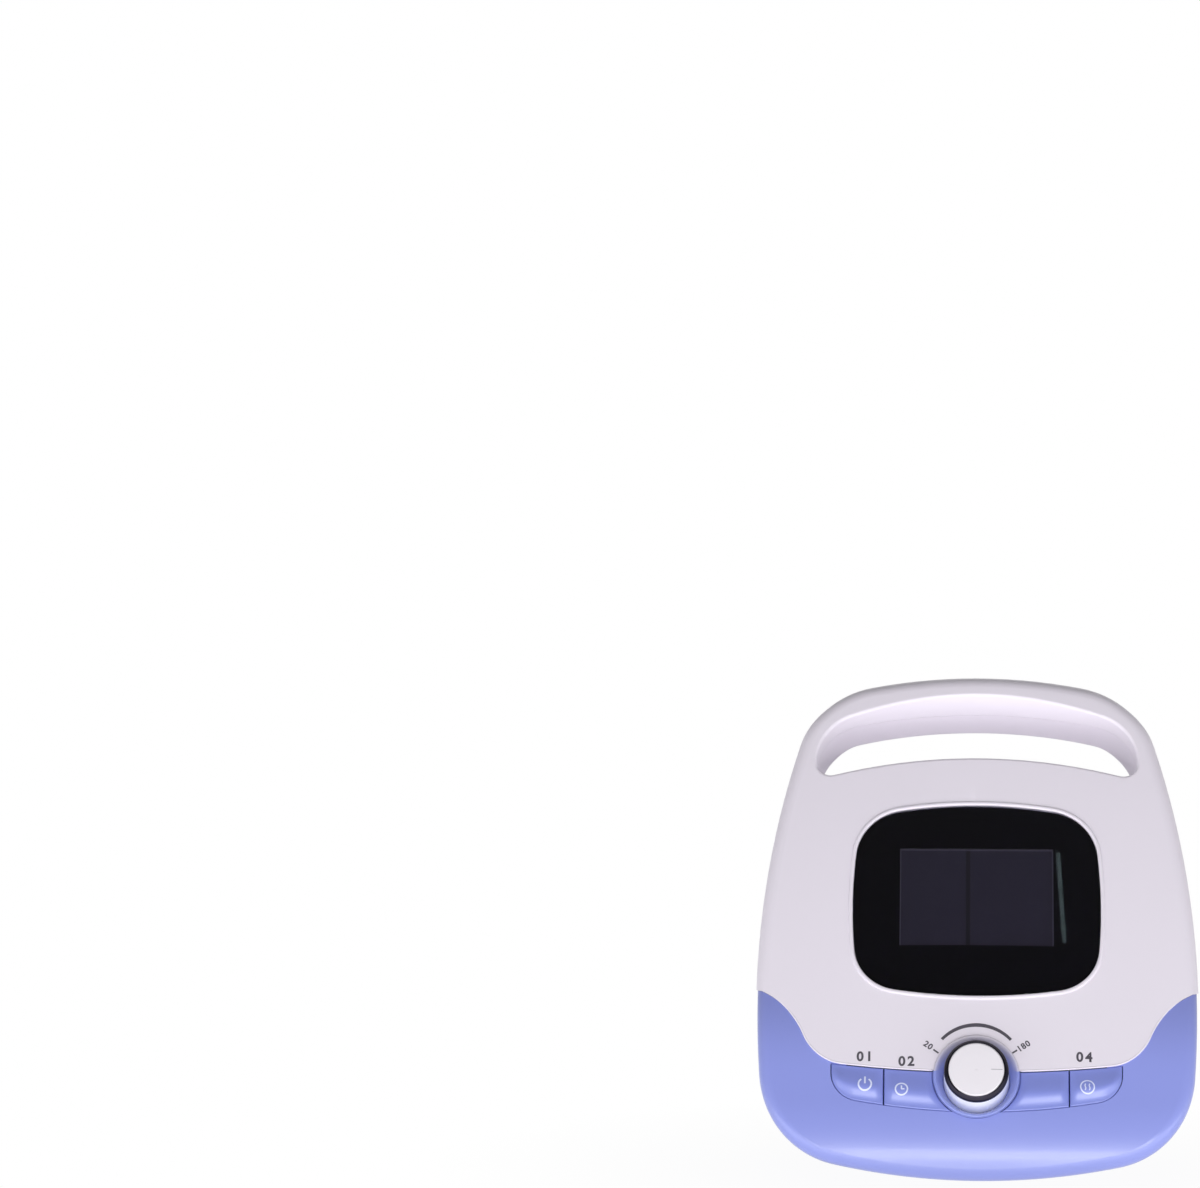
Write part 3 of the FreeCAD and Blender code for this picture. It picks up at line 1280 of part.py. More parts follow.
def mains_inlet():
    fw, fh = INLET_FLANGE[0] / 2, INLET_FLANGE[1] / 2
    bw, bh = INLET_BODY[0] / 2, INLET_BODY[1] / 2
    flange = round_along(box(INLET_X - fw, INLET_X + fw, DEPTH, DEPTH + 2, INLET_Z - fh, INLET_Z + fh),
                         Y_AXIS, 4.0, lambda p: True)
    body = box(INLET_X - bw, INLET_X + bw, DEPTH - INLET_DEPTH, DEPTH + 1, INLET_Z - bh, INLET_Z + bh)
    mouth = DEPTH + 2
    cavity = stadium(INLET_CAVITY[0], INLET_CAVITY[1], mouth - INLET_CAVITY_DEPTH, mouth + 1, INLET_X, INLET_Z)
    slots = [bar(PIN_R, INLET_X + s * PIN_PITCH / 2, INLET_Z, 0, DEPTH) for s in (-1, 1)]
    return cut(fuse([flange, body]), [cavity] + slots)


def inlet_pins():
    floor = DEPTH + 2 - INLET_CAVITY_DEPTH
    tail = DEPTH - INLET_DEPTH - 4
    return Part.makeCompound([bar(PIN_R, INLET_X + s * PIN_PITCH / 2, INLET_Z, tail, floor + PIN_LENGTH)
                              for s in (-1, 1)])


def power_board():
    y0, y1, z0, z1 = POWER_BOARD
    return box(POWER_BOARD_X, POWER_BOARD_X + BOARD_THICK, y0, y1, z0, z1)


def power_parts():
    """Transformer, capacitor, heat sink and fuse on the power board."""
    x = POWER_BOARD_X + BOARD_THICK
    y0, y1, z0, z1 = POWER_BOARD
    core = box(x, x + 26, y0 + 4, y0 + 36, z0 + 14, z0 + 42)
    winding = box(x + 3, x + 29, y0 + 10, y0 + 30, z0 + 10, z0 + 46)
    capacitor = rod(7.0, Vector(x, y0 + 48, z0 + 24), X_AXIS, 22)
    sink = fuse([box(x, x + 3, y0 + 6, y0 + 34, z1 - 20, z1 - 2)]
                + [box(x, x + 14, y0 + 6 + 6 * i, y0 + 8 + 6 * i, z1 - 20, z1 - 2) for i in range(5)])
    fuse_tube = rod(2.6, Vector(x + 4, y1 - 26, z1 - 10), Y_AXIS, 20)
    clips = box(x, x + 4.5, y1 - 24, y1 - 21, z1 - 13, z1 - 7), box(x, x + 4.5, y1 - 11, y1 - 8, z1 - 13, z1 - 7)
    return Part.makeCompound([fuse([core, winding]), capacitor, sink, fuse([fuse_tube] + list(clips))])


def main_board():
    half, z0, z1 = MAIN_BOARD
    board = box(-half, half, MAIN_BOARD_Y, MAIN_BOARD_Y + BOARD_THICK, z0, z1)
    hole_r = BOARD_SCREW[2] + SCREW_CLEARANCE
    holes = [bar(hole_r, s * (half - 5), z, 100, 160) for s in (-1, 1) for z in (z0 + 5, z1 - 5)]
    y = MAIN_BOARD_Y
    chips = [box(-14, 2, y - 2, y, z0 + 10, z0 + 26), box(-42, -22, y - 9, y, z0 + 6, z0 + 26)]
    chips += [plug_block(x, y - PLUG_SIZE[1], z0 + 1 + PLUG_SIZE[2] / 2) for x in (KEY_CABLE_X, SCREEN_CABLE_X)]
    chips += [box(14 + 8 * i, 19 + 8 * i, y - 3, y, z1 - 14, z1 - 6) for i in range(4)]
    return fuse([cut(board, holes)] + chips)


def behind_face(z, depth, rise):
    """Point on the middle plane, so deep behind the front at height z and so far up along it."""
    lean = math.radians(lean_at(z))
    return face_point(z) - leaning(lean_at(z)) * depth + Vector(0, math.sin(lean), math.cos(lean)) * rise


def ribbon(points, x):
    """Flat cable of even thickness along a bent path on the middle plane, moved to x."""
    face = bent_path(points, CABLE_BEND_R).makeOffset2D(CABLE_THICK, 0, True, True)
    band = face.extrude(X_AXIS * CABLE_WIDTH)
    band.translate(X_AXIS * (x - CABLE_WIDTH / 2))
    return band


def ribbon_cables():
    """Flat cables from the plugs of the display board and the key board to the main board."""
    rear = BOARD_THICK + PLUG_SIZE[1]
    goal = Vector(0, MAIN_BOARD_Y - PLUG_SIZE[1], MAIN_BOARD[1] + 1 + PLUG_SIZE[2] / 2)
    runs = (
        (SCREEN_CABLE_X, WINDOW_Z, DISPLAY_BOARD_DEPTH, SCREEN_RISE + SCREEN_PLUG_RISE,
         ((80.0, 127.0), (120.0, goal.z))),
        (KEY_CABLE_X, KNOB_Z, KEY_BOARD_DEPTH, KEY_PLUG_RISE,
         ((46.0, 66.0), (70.0, 106.0), (82.0, 127.0), (120.0, goal.z))),
    )
    cables = []
    for x, at_z, board, rise, corners in runs:
        start = behind_face(at_z, board + rear, rise)
        leave = behind_face(at_z, board + rear + 1.5 * CABLE_BEND_R, rise)
        cables.append(ribbon([start, leave] + [Vector(0, y, z) for y, z in corners] + [goal], x))
    return Part.makeCompound(cables)


# ---- filter, feet and screws ----

def intake_filter():
    return bar(FILTER_R, FILTER_X, FILTER_Z, DEPTH - WALL - FILTER_THICK + 0.5, DEPTH - 1.0)


def filter_cover():
    """Round cover with slots over the intake foam."""
    profile = [(0, 0), (COVER_R, 0), (COVER_R, COVER_THICK - 0.8), (COVER_R - 0.8, COVER_THICK), (0, COVER_THICK)]
    rim = turned(profile, Vector(FILTER_X, DEPTH, FILTER_Z), Y_AXIS)
    lip = bar(FILTER_R, FILTER_X, FILTER_Z, DEPTH - 1, DEPTH)
    lip = lip.cut(bar(FILTER_R - 1.5, FILTER_X, FILTER_Z, DEPTH - 1, DEPTH))
    slots = []
    for i in range(5):
        z = (i - 2) * 5.0
        half = math.sqrt((FILTER_R - 2) ** 2 - z**2)
        slots.append(box(FILTER_X - half, FILTER_X + half, DEPTH - 2, DEPTH + 5,
                         FILTER_Z + z - 1.1, FILTER_Z + z + 1.1))
    return cut(fuse([rim, lip]), slots)


def rubber_feet():
    """Rubber feet pushed into the pads of the tub."""
    profile = [(0, -FOOT_DROP), (FOOT_R - 1, -FOOT_DROP), (FOOT_R, -FOOT_DROP + 1), (FOOT_R, FOOT_PAD_Z),
               (FOOT_STEM_R, FOOT_PAD_Z), (FOOT_STEM_R, 10), (0, 10)]
    return Part.makeCompound([turned(profile, Vector(x, y, 0), Z_AXIS) for x, y in both_sides(FOOT_PLACES)])


def screw(size, head_seat, axis):
    """Pan-head screw with its head seated at head_seat and its shank along axis."""
    head_r, head_h, shank_r, length = size
    profile = [(0, -head_h), (head_r * 0.8, -head_h), (head_r, -head_h * 0.5), (head_r, 0), (shank_r, 0),
               (shank_r, length), (0, length)]
    return turned(profile, head_seat, axis)


def case_screws():
    rim = edge_places()[5].z
    screws = [screw(CASE_SCREW, Vector(x, y, rim - SCREW_SHOULDER), Z_AXIS) for x, y in both_sides(COLUMN_PLACES)]
    screws += [screw(CASE_SCREW, Vector(x, parting_y(z) + SCREW_SHOULDER, z), -Y_AXIS)
               for x, z in both_sides(REAR_SCREWS)]
    return Part.makeCompound(screws)


def board_screws():
    """Small screws of the display board, key board, collar, main board and valve block."""
    screws = [on_screen(screw(BOARD_SCREW, Vector(x, DISPLAY_BOARD_DEPTH + BOARD_THICK, z), -Y_AXIS))
              for x, z in display_bosses()]
    for s in (-1, 1):
        seats = (Vector(s * KEY_BOSS[0], KEY_BOARD_DEPTH + BOARD_THICK, KEY_BOSS[1]),
                 Vector(s * COLLAR_TAB_X, COLLAR_FLOOR_DEPTH + COLLAR_FLOOR_THICK, KEY_BOSS[1]))
        screws += [on_face(screw(BOARD_SCREW, seat, -Y_AXIS), KNOB_Z) for seat in seats]
        screws.append(screw(BOARD_SCREW, Vector(s * BLOCK_ARM_X, BLOCK_Y + BLOCK_SIZE[1] / 2 - 3.5, BLOCK_Z), Y_AXIS))
        screws += [screw(BOARD_SCREW, Vector(s * (MAIN_BOARD[0] - 5), MAIN_BOARD_Y, z), Y_AXIS)
                   for z in (MAIN_BOARD[1] + 5, MAIN_BOARD[2] - 5)]
    return Part.makeCompound(screws)


# ---- all pieces ----

def pieces():
    shell = white_case()
    made = {
        "base_tub": base_tub(),
        "front_housing": front_housing(shell),
        "rear_housing": rear_housing(shell),
        "window_lens": window_lens(),
        "lens_mask": lens_mask(),
        "display_panel": display_panel(),
        "display_frame": display_frame(),
        "display_board": display_board(),
        "buzzer": buzzer(),
        "knob_collar": knob_collar(),
        "knob_body": knob_body(),
        "knob_ring": knob_ring(),
        "knob_cap": knob_cap(),
        "knob_shaft": knob_shaft(),
        "potentiometer": potentiometer(),
        "shaft_nut": shaft_nut(),
        "key_board": key_board(),
        "key_switches": key_switches(),
        "pump_frame": pump_frame(),
        "pump_head_left": pump_head(-1),
        "pump_head_right": pump_head(1),
        "head_screws": head_screws(),
        "pump_diaphragms": pump_diaphragms(),
        "pump_armature": pump_armature(),
        "pump_cores": pump_cores(),
        "pump_coils": pump_coils(),
        "pump_mounts": pump_mounts(),
        "valve_block": valve_block(),
        "valve_coils": valve_coils(),
        "valve_springs": valve_springs(),
        "pump_tubes": pump_tubes(),
        "outlet_tubes": outlet_tubes(),
        "outlet_sockets": outlet_sockets(),
        "mains_inlet": mains_inlet(),
        "inlet_pins": inlet_pins(),
        "power_board": power_board(),
        "power_parts": power_parts(),
        "main_board": main_board(),
        "ribbon_cables": ribbon_cables(),
        "intake_filter": intake_filter(),
        "filter_cover": filter_cover(),
        "rubber_feet": rubber_feet(),
        "case_screws": case_screws(),
        "board_screws": board_screws(),
    }
    for name, x0, x1, place in key_places():
        made[name + "_button"] = key(x0, x1, place)
        made[name + "_plunger"] = plunger(place)
    for name, x in zip(VALVE_NAMES, VALVE_X):
        made[name + "_valve_plunger"] = valve_plunger(x)
    return made


def frame_shift():
    """Move that centres the case on Y and stands it on its feet."""
    lean = math.radians(lean_at(KNOB_Z))
    reach = max(r * math.sin(lean) - depth * math.cos(lean) for r, depth in ring_profile())
    front = min(face_point(KNOB_Z).y - reach, TUB_REVEAL)
    rear = DEPTH + SOCKET_FLANGE_THICK + NOZZLE_LENGTH
    return Vector(0, -(front + rear) / 2, FOOT_DROP)


def write_parts():
    os.makedirs("parts", exist_ok=True)
    shift = frame_shift()
    for name, shape in pieces().items():
        solids = Part.makeCompound([s.copy() for s in shape.Solids])
        solids.translate(shift)
        solids.exportStep(os.path.join("parts", name + ".step"))


if __name__ == "__main__":
    write_parts()
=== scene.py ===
"""Looks of an air-compression therapy console: finishes, keys, window, print and studio."""

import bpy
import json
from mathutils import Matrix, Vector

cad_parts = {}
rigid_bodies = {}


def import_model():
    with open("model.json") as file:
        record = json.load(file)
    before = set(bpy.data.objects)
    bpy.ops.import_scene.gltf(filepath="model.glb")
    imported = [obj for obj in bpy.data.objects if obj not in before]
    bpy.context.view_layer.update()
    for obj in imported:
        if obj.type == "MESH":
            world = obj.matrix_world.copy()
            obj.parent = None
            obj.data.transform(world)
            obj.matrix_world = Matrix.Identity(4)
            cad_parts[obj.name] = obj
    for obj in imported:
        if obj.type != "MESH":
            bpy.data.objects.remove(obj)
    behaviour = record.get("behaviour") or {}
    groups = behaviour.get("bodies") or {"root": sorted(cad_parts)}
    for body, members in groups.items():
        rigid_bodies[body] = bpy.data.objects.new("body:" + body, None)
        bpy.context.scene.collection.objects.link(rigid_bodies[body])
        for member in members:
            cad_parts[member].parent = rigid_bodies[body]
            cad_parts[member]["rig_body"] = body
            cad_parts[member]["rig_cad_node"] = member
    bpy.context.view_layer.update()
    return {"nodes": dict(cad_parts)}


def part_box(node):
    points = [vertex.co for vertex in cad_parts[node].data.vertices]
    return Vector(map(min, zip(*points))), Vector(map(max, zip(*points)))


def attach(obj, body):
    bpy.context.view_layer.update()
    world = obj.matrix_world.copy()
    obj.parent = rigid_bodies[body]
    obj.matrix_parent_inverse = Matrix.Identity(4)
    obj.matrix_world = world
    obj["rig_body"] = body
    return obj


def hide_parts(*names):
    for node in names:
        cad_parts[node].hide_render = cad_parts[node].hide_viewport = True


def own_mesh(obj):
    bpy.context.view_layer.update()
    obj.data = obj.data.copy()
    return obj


bl_info = {
    "name": "Therapy Console Looks",
    "version": (1, 0, 0),
    "blender": (4, 5, 0),
    "location": "View3D > Sidebar > Console",
    "description": "Dresses the built console: case, keys, knob, window, print, rear and studio",
    "category": "Object",
}

import json
import math
from contextlib import contextmanager
from functools import partial

import bpy
import numpy as np
from mathutils import Vector

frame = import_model()

MM = 0.001

# The case, in metres, drawn as the solids are: front foot at y = 0, underside at z = 0
CASE_DEPTH = 0.155
CASE_HEIGHT = 0.2622
LIP_Z = 0.008
LIP_R = 0.080
LEAN = math.radians(25.0)
CROWN_R = 3.0
PLAN_R = 0.9

# Edge between the white case and the blue tub
EDGE_LOW_Z = 0.058
EDGE_SAG_R = 0.830
EDGE_TURN_X = 0.069
EDGE_TURN_R = 0.0254
EDGE_LOBE_R = 0.041
EDGE_LOBE_DROP = 0.028
EDGE_END_X = 0.110
LIP_SINK = 0.0004
LIP_FADE = 0.012

# Window outline
WINDOW_Z = 0.1457
WINDOW_HALF_WIDTH = 0.0669
WINDOW_HALF_HEIGHT = 0.0557
WINDOW_SIDE_R = 0.293
WINDOW_WAIST = -0.003
WINDOW_TOP_R = 0.281
WINDOW_BOTTOM_R = 0.270
WINDOW_UPPER_CORNER_R = 0.0285
WINDOW_LOWER_CORNER_R = 0.0262
RIM_OVERLAP = 0.0002
PANE_GAP = 0.00025
PANE_SINK = 0.0004
PANE_THICK = 0.0014
PANE_EDGE_R = 0.0007
SCREEN_WIDTH = 0.0826
SCREEN_HEIGHT = 0.0567
SCREEN_RISE = 0.0027
SCREEN_LINE = 0.0006
# Painted reflection on the display: a darker upright band
REFLECTION_BAND_X = -0.0046
REFLECTION_BAND_HALF_WIDTH = 0.0011

# Knob and key row
KNOB_Z = 0.0555
KNOB_HEIGHT = 0.0114
COLLAR_CLEAR_R = 0.02315
COLLAR_DISH_R = 0.0214
SEAM_SINK = 0.0001
SEAM_HALF_WIDTH = 0.00017
SEAM_HALF_HEIGHT = 0.0003
POINTER_START, POINTER_END = 0.0078, 0.0138
POINTER_HALF_WIDTH = 0.00022
CAP_DOME = ((0, 0.008, 0.0140, 0.0146), (0.0005, 0.00042, 0.00015, -0.00025))
ROW_HALF = 0.077
ROW_SPLIT_X = 0.049
ROW_GAP = 0.0005
ROW_BOTTOM = -0.0194
ROW_BOTTOM_R = 0.327
ROW_CORNER_R = 0.016
KEY_CLEARANCE = 0.00035
KEY_DEPTH = 0.0044
KEY_EDGE_R = 0.0009
KEY_SINK = 0.0009
KEY_EASE = 0.006

# Print, as places (x, s) of the plane touching the front at the knob
PRINT_RISE = 0.00004
KEY_PRINT_RISE = 0.00005
TICK_REACH, TICK_S = 0.0042, 0.0162
TICK_HALF, TICK_WIDTH = 0.0017, 0.0009
TICKS = ((-1, 0.0248, 36), (1, 0.0236, 34))
SCALE_NUMBERS = (("scale_low", "20", -0.0256, 0.0170, -36), ("scale_high", "180", 0.0250, 0.0170, 34))
KEY_NUMBERS = (
    ("mark_one", "01", -0.0592, 0.0108, 0),
    ("mark_two", "02", -0.0370, 0.0080, 0),
    ("mark_four", "04", 0.0570, 0.0115, 0),
)
SCALE_NUMBER_HEIGHT = 0.0032
KEY_NUMBER_HEIGHT = 0.0052
POWER_PLACE = (-0.0589, -0.0046)
TIMER_PLACE = (-0.0395, -0.0075)
HEAT_PLACE = (0.0585, -0.0050)

# Fittings at the rear, and the profile (radius, reach) of a barbed nozzle in millimetres
FITTING_EDGE_R = 0.0004
NOZZLE_CLEARANCE = 0.005
OUTLET_PITCH = 0.011
OUTLET_X = [side * 0.050 + step * OUTLET_PITCH for side in (-1, 1) for step in (-1.5, -0.5, 0.5, 1.5)]
OUTLET_Y = CASE_DEPTH + 0.0016
OUTLET_Z = 0.112
NOZZLE_PROFILE = (
    (3.3, 0.02), (2.9, 0.2), (2.64, 0.5), (2.56, 1.2), (2.56, 4.6), (3.02, 4.7), (3.06, 4.95), (2.56, 7.6),
    (3.02, 7.7), (3.06, 7.95), (2.56, 10.6), (2.54, 11.6), (2.3, 11.65), (2.3, 0.02),
)

# Valve springs
VALVES = {"foot_valve": -0.054, "calf_valve": -0.018, "knee_valve": 0.018, "thigh_valve": 0.054}
VALVE_Y = 0.102
SPRING_R = 0.0028
SPRING_WIRE_R = 0.00035
SPRING_TURNS = 7
SPRING_PLAY = 0.00002

# Studio: where the floor's shade ends, where the lamps aim and where the window mirrors the strip
FLOOR_FADE = (0.10, 0.30)
AIM = (0.0, 0.0, 0.12)
STREAK_X, STREAK_Z = 0.0525, 0.152
STRIP_DISTANCE = 1.5

_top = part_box("rear_housing")[1]
SHIFT = np.array([0.0, _top.y - CASE_DEPTH, _top.z - CASE_HEIGHT])


# ---- the front surface ----

CROWN_Y = LIP_R - math.cos(LEAN) * (LIP_R - CROWN_R)
CROWN_Z = LIP_Z + math.sin(LEAN) * (LIP_R - CROWN_R)


def profile_y(z, depth=0.0):
    """Front of the case on its centre line: an arc of radius CROWN_R, moved inwards by depth."""
    return CROWN_Y - np.sqrt((CROWN_R - depth) ** 2 - (z - CROWN_Z) ** 2)


def front_y(x, z, depth=0.0):
    """The centre-line arc turned about the upright axis at PLAN_R: y = P - sqrt((P - profile)^2 - x^2)."""
    return PLAN_R - np.sqrt((PLAN_R - profile_y(z, depth)) ** 2 - x**2)


def lean_at(z):
    """Angle of the front's profile from upright at a height."""
    return math.asin((z - CROWN_Z) / CROWN_R)


def outward(x, z):
    """Unit normal of the front: the leaning direction swung about the upright axis by asin(x / reach)."""
    swing = np.arcsin(x / (PLAN_R - profile_y(z)))
    lean = np.arcsin((z - CROWN_Z) / CROWN_R)
    return np.stack([np.cos(lean) * np.sin(swing), -np.cos(lean) * np.cos(swing), np.sin(lean)], -1)


def in_plane(x, s, z0, inwards):
    """Points at places (x, s) of the plane touching the front at z0, moved straight inwards."""
    x, s, inwards = np.broadcast_arrays(np.asarray(x, float), s, inwards)
    lean = lean_at(z0)
    y = profile_y(z0) + s * math.sin(lean) + inwards * math.cos(lean)
    z = z0 + s * math.cos(lean) - inwards * math.sin(lean)
    return np.stack([x, y, z], -1)


def on_front(x, s, z0, depth=0.0):
    """Points on the front, sunk by depth, square behind places (x, s) of the plane touching it at z0.

    The way inwards from the plane is found by repeating t += (front_y - y) cos(lean).
    """
    x, s, depth = np.broadcast_arrays(np.asarray(x, float), s, depth)
    inwards = np.zeros_like(x)
    for _ in range(6):
        place = in_plane(x, s, z0, inwards)
        inwards = inwards + (front_y(x, place[..., 2], depth) - place[..., 1]) * math.cos(lean_at(z0))
    return in_plane(x, s, z0, inwards)


# ---- meshes ----

def link(name, verts, faces, body="console"):
    """Mesh object at the origin, riding on a body, with its points moved into the part's frame."""
    mesh = bpy.data.meshes.new(name)
    mesh.from_pydata((np.asarray(verts).reshape(-1, 3) + SHIFT).tolist(), [], faces)
    mesh.validate()
    mesh.update()
    mesh.shade_smooth()
    piece = bpy.data.objects.new(name, mesh)
    bpy.context.scene.collection.objects.link(piece)
    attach(piece, body)
    return piece


def grid_faces(rows, columns, wrap_rows=False, wrap_columns=False):
    """Quads of a grid of points, row by row, joined end to end where it wraps."""
    i = np.arange(rows if wrap_rows else rows - 1)[:, None]
    j = np.arange(columns if wrap_columns else columns - 1)[None, :]
    i2, j2 = (i + 1) % rows, (j + 1) % columns
    quads = np.stack([i * columns + j, i * columns + j2, i2 * columns + j2, i2 * columns + j], -1)
    return quads.reshape(-1, 4).tolist()


@contextmanager
def edited(piece):
    """Edit mode on one piece, with all of it selected; the solids, selected when loaded, stay out of it."""
    bpy.ops.object.select_all(action="DESELECT")
    piece.select_set(True)
    bpy.context.view_layer.objects.active = piece
    bpy.ops.object.mode_set(mode="EDIT")
    bpy.ops.mesh.select_all(action="SELECT")
    yield
    bpy.ops.object.mode_set(mode="OBJECT")


def turn_outwards(piece):
    """Makes the faces of a closed piece point outwards."""
    with edited(piece):
        bpy.ops.mesh.normals_make_consistent(inside=False)
    piece.data.update()
    return piece


def crisp(piece, degrees):
    """Keeps the edges of a smooth piece sharp where they turn by more than an angle."""
    piece.data.set_sharp_from_angle(angle=math.radians(degrees))
    return piece


def arc(centre, start, end, steps):
    """Points of the shorter arc about centre from start to end, without the last one."""
    a0 = math.atan2(start[1] - centre[1], start[0] - centre[0])
    a1 = math.atan2(end[1] - centre[1], end[0] - centre[0])
    turn = (a1 - a0 + math.pi) % (2 * math.pi) - math.pi
    a = a0 + turn * np.arange(steps) / steps
    radius = math.hypot(start[0] - centre[0], start[1] - centre[1])
    return np.stack([centre[0] + radius * np.cos(a), centre[1] + radius * np.sin(a)], -1)


def meeting(c0, r0, c1, r1, near):
    """The crossing of two circles that lies nearer to a given point."""
    c0, c1 = np.array(c0), np.array(c1)
    gap = np.linalg.norm(c1 - c0)
    along = (r0**2 - r1**2 + gap**2) / (2 * gap)
    rise = math.sqrt(max(r0**2 - along**2, 0.0))
    unit = (c1 - c0) / gap
    side = np.array([-unit[1], unit[0]])
    both = [c0 + unit * along + side * rise * sign for sign in (-1, 1)]
    return min(both, key=lambda p: np.linalg.norm(p - np.array(near)))


def window_outline(grow, steps=28):
    """Closed outline of the window: four large arcs with rounded corners, moved outwards by grow."""
    half_w, half_h = WINDOW_HALF_WIDTH + grow, WINDOW_HALF_HEIGHT + grow
    side = (half_w - WINDOW_SIDE_R - grow, WINDOW_WAIST)
    top = (0.0, half_h - WINDOW_TOP_R - grow)
    bottom = (0.0, WINDOW_BOTTOM_R + grow - half_h)
    low_r, up_r = WINDOW_LOWER_CORNER_R, WINDOW_UPPER_CORNER_R
    low_c = meeting(side, WINDOW_SIDE_R - low_r, bottom, WINDOW_BOTTOM_R - low_r, (half_w, -half_h))
    up_c = meeting(side, WINDOW_SIDE_R - up_r, top, WINDOW_TOP_R - up_r, (half_w, half_h))

    def touch(big_centre, corner, radius):
        away = np.array(corner) - np.array(big_centre)
        return np.array(corner) + away / np.linalg.norm(away) * (radius + grow)

    end = np.array([0.0, half_h])
    stops = (np.array([0.0, -half_h]), touch(bottom, low_c, low_r), touch(side, low_c, low_r),
             touch(side, up_c, up_r), touch(top, up_c, up_r), end)
    centres = (bottom, low_c, side, up_c, top)
    right = np.concatenate([arc(c, a, b, steps) for c, a, b in zip(centres, stops, stops[1:])])
    left = np.concatenate([[end], right[:0:-1] * [-1, 1]])
    return np.concatenate([right, left])


def edge_line(steps=40):
    """Places (x, z) of the two-colour edge across the front: three arcs on each side, from left to right."""
    sag = np.array([0.0, EDGE_LOW_Z + EDGE_SAG_R])
    turn = np.array([EDGE_TURN_X, sag[1] - math.sqrt((EDGE_SAG_R - EDGE_TURN_R) ** 2 - EDGE_TURN_X**2)])
    apart = EDGE_TURN_R + EDGE_LOBE_R
    lobe = turn + np.array([math.sqrt(apart**2 - EDGE_LOBE_DROP**2), -EDGE_LOBE_DROP])
    low = sag + (turn - sag) / np.linalg.norm(turn - sag) * EDGE_SAG_R
    high = turn + (lobe - turn) / apart * EDGE_TURN_R
    end = np.array([EDGE_END_X, lobe[1] + math.sqrt(EDGE_LOBE_R**2 - (lobe[0] - EDGE_END_X) ** 2)])
    right = np.concatenate([
        arc(sag, (0.0, EDGE_LOW_Z), low, steps), arc(turn, low, high, steps),
        arc(lobe, high, end, steps), [end],
    ])
    return np.concatenate([right[:0:-1] * [-1, 1], right])


def bead(name, path, up, profile, closed, body="console", scale=None):
    """Profile carried along a path: point = path + (across * p0 + up * p1) * scale, across = tangent x up."""
    if closed:
        tangent = np.roll(path, -1, 0) - np.roll(path, 1, 0)
    else:
        tangent = np.gradient(path, axis=0)
    across = np.cross(tangent, up)
    across /= np.linalg.norm(across, axis=1, keepdims=True)
    size = np.ones((len(path), 1, 1)) if scale is None else scale[:, None, None]
    points = path[:, None] + across[:, None] * profile[:, :1] * size + up[:, None] * profile[:, 1:] * size
    rows, columns = points.shape[:2]
    faces = grid_faces(rows, columns, wrap_rows=closed, wrap_columns=True)
    if not closed:
        faces += [list(range(columns)), list(range((rows - 1) * columns, rows * columns))]
    return turn_outwards(link(name, points, faces, body))


def rounded(half_width, half_height, power=2.5, steps=16):
    """Closed rounded profile |a|^power + |b|^power = 1, stretched to two half sizes."""
    t = np.arange(steps) / steps * 2 * np.pi
    c, s = np.cos(t), np.sin(t)
    return np.stack([
        half_width * np.sign(c) * np.abs(c) ** (2 / power),
        half_height * np.sign(s) * np.abs(s) ** (2 / power),
    ], -1)


def softened(node, spared=0.0):
    """Copy of a solid's mesh with its doubles merged and its sharp edges rounded, standing for the solid.

    Edges with an end nearer than spared to the height of the nozzles' axes stay sharp.
    """
    source = frame["nodes"][node]
    piece = source.copy()
    piece.data = source.data.copy()
    piece.name = node + "_soft"
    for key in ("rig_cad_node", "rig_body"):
        if key in piece:
            del piece[key]
    bpy.context.scene.collection.objects.link(piece)
    piece.parent = None
    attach(piece, source["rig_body"])
    with edited(piece):
        bpy.ops.mesh.remove_doubles(threshold=1e-6)
        bpy.ops.mesh.select_mode(type="EDGE")
        bpy.ops.mesh.select_all(action="DESELECT")
        bpy.ops.mesh.edges_select_sharp(sharpness=math.radians(40))
    mesh = piece.data
    sharp, ends = np.zeros(len(mesh.edges), bool), np.zeros(len(mesh.edges) * 2, int)
    places = np.zeros(len(mesh.vertices) * 3)
    mesh.edges.foreach_get("select", sharp)
    mesh.edges.foreach_get("vertices", ends)
    mesh.vertices.foreach_get("co", places)
    away = np.abs(places[2::3][ends.reshape(-1, 2)] - OUTLET_Z - SHIFT[2]).min(1)
    weights = mesh.attributes.new("bevel_weight_edge", "FLOAT", "EDGE")
    weights.data.foreach_set("value", (sharp & (away >= spared)).astype(np.float32))
    mesh.shade_smooth()
    rounding = piece.modifiers.new("rounding", "BEVEL")
    rounding.width = FITTING_EDGE_R
    rounding.segments = 2
    rounding.limit_method = "WEIGHT"
    rounding.harden_normals = True
    crisp(piece, 50)
    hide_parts(node)
    return piece


# ---- materials ----

def colour(r, g, b):
    """Linear colour from a display colour in 0 to 255."""
    c = np.array([r, g, b]) / 255.0
    return tuple(np.where(c <= 0.04045, c / 12.92, ((c + 0.055) / 1.055) ** 2.4)) + (1.0,)


def feed(node, values):
    """Gives each named input of a node a value to hold, or another node's output to read."""
    for name, value in values.items():
        if isinstance(value, bpy.types.NodeSocket):
            node.id_data.links.new(value, node.inputs[name])
        else:
            node.inputs[name].default_value = value


def add(tree, kind, values, **settings):
    """New shader node, whose settings are made before its inputs are fed."""
    made = tree.nodes.new("ShaderNode" + kind)
    for name, value in settings.items():
        setattr(made, name, value)
    feed(made, values)
    return made


def maths(tree, operation, *values):
    """Result of one step of arithmetic."""
    return add(tree, "Math", dict(enumerate(values)), operation=operation).outputs[0]


def span(tree, value, *limits, **settings):
    """A value carried from one span to another: its old lowest and highest, then its new ones (0 and 1)."""
    return add(tree, "MapRange", dict(enumerate((value, *limits))), **settings).outputs[0]


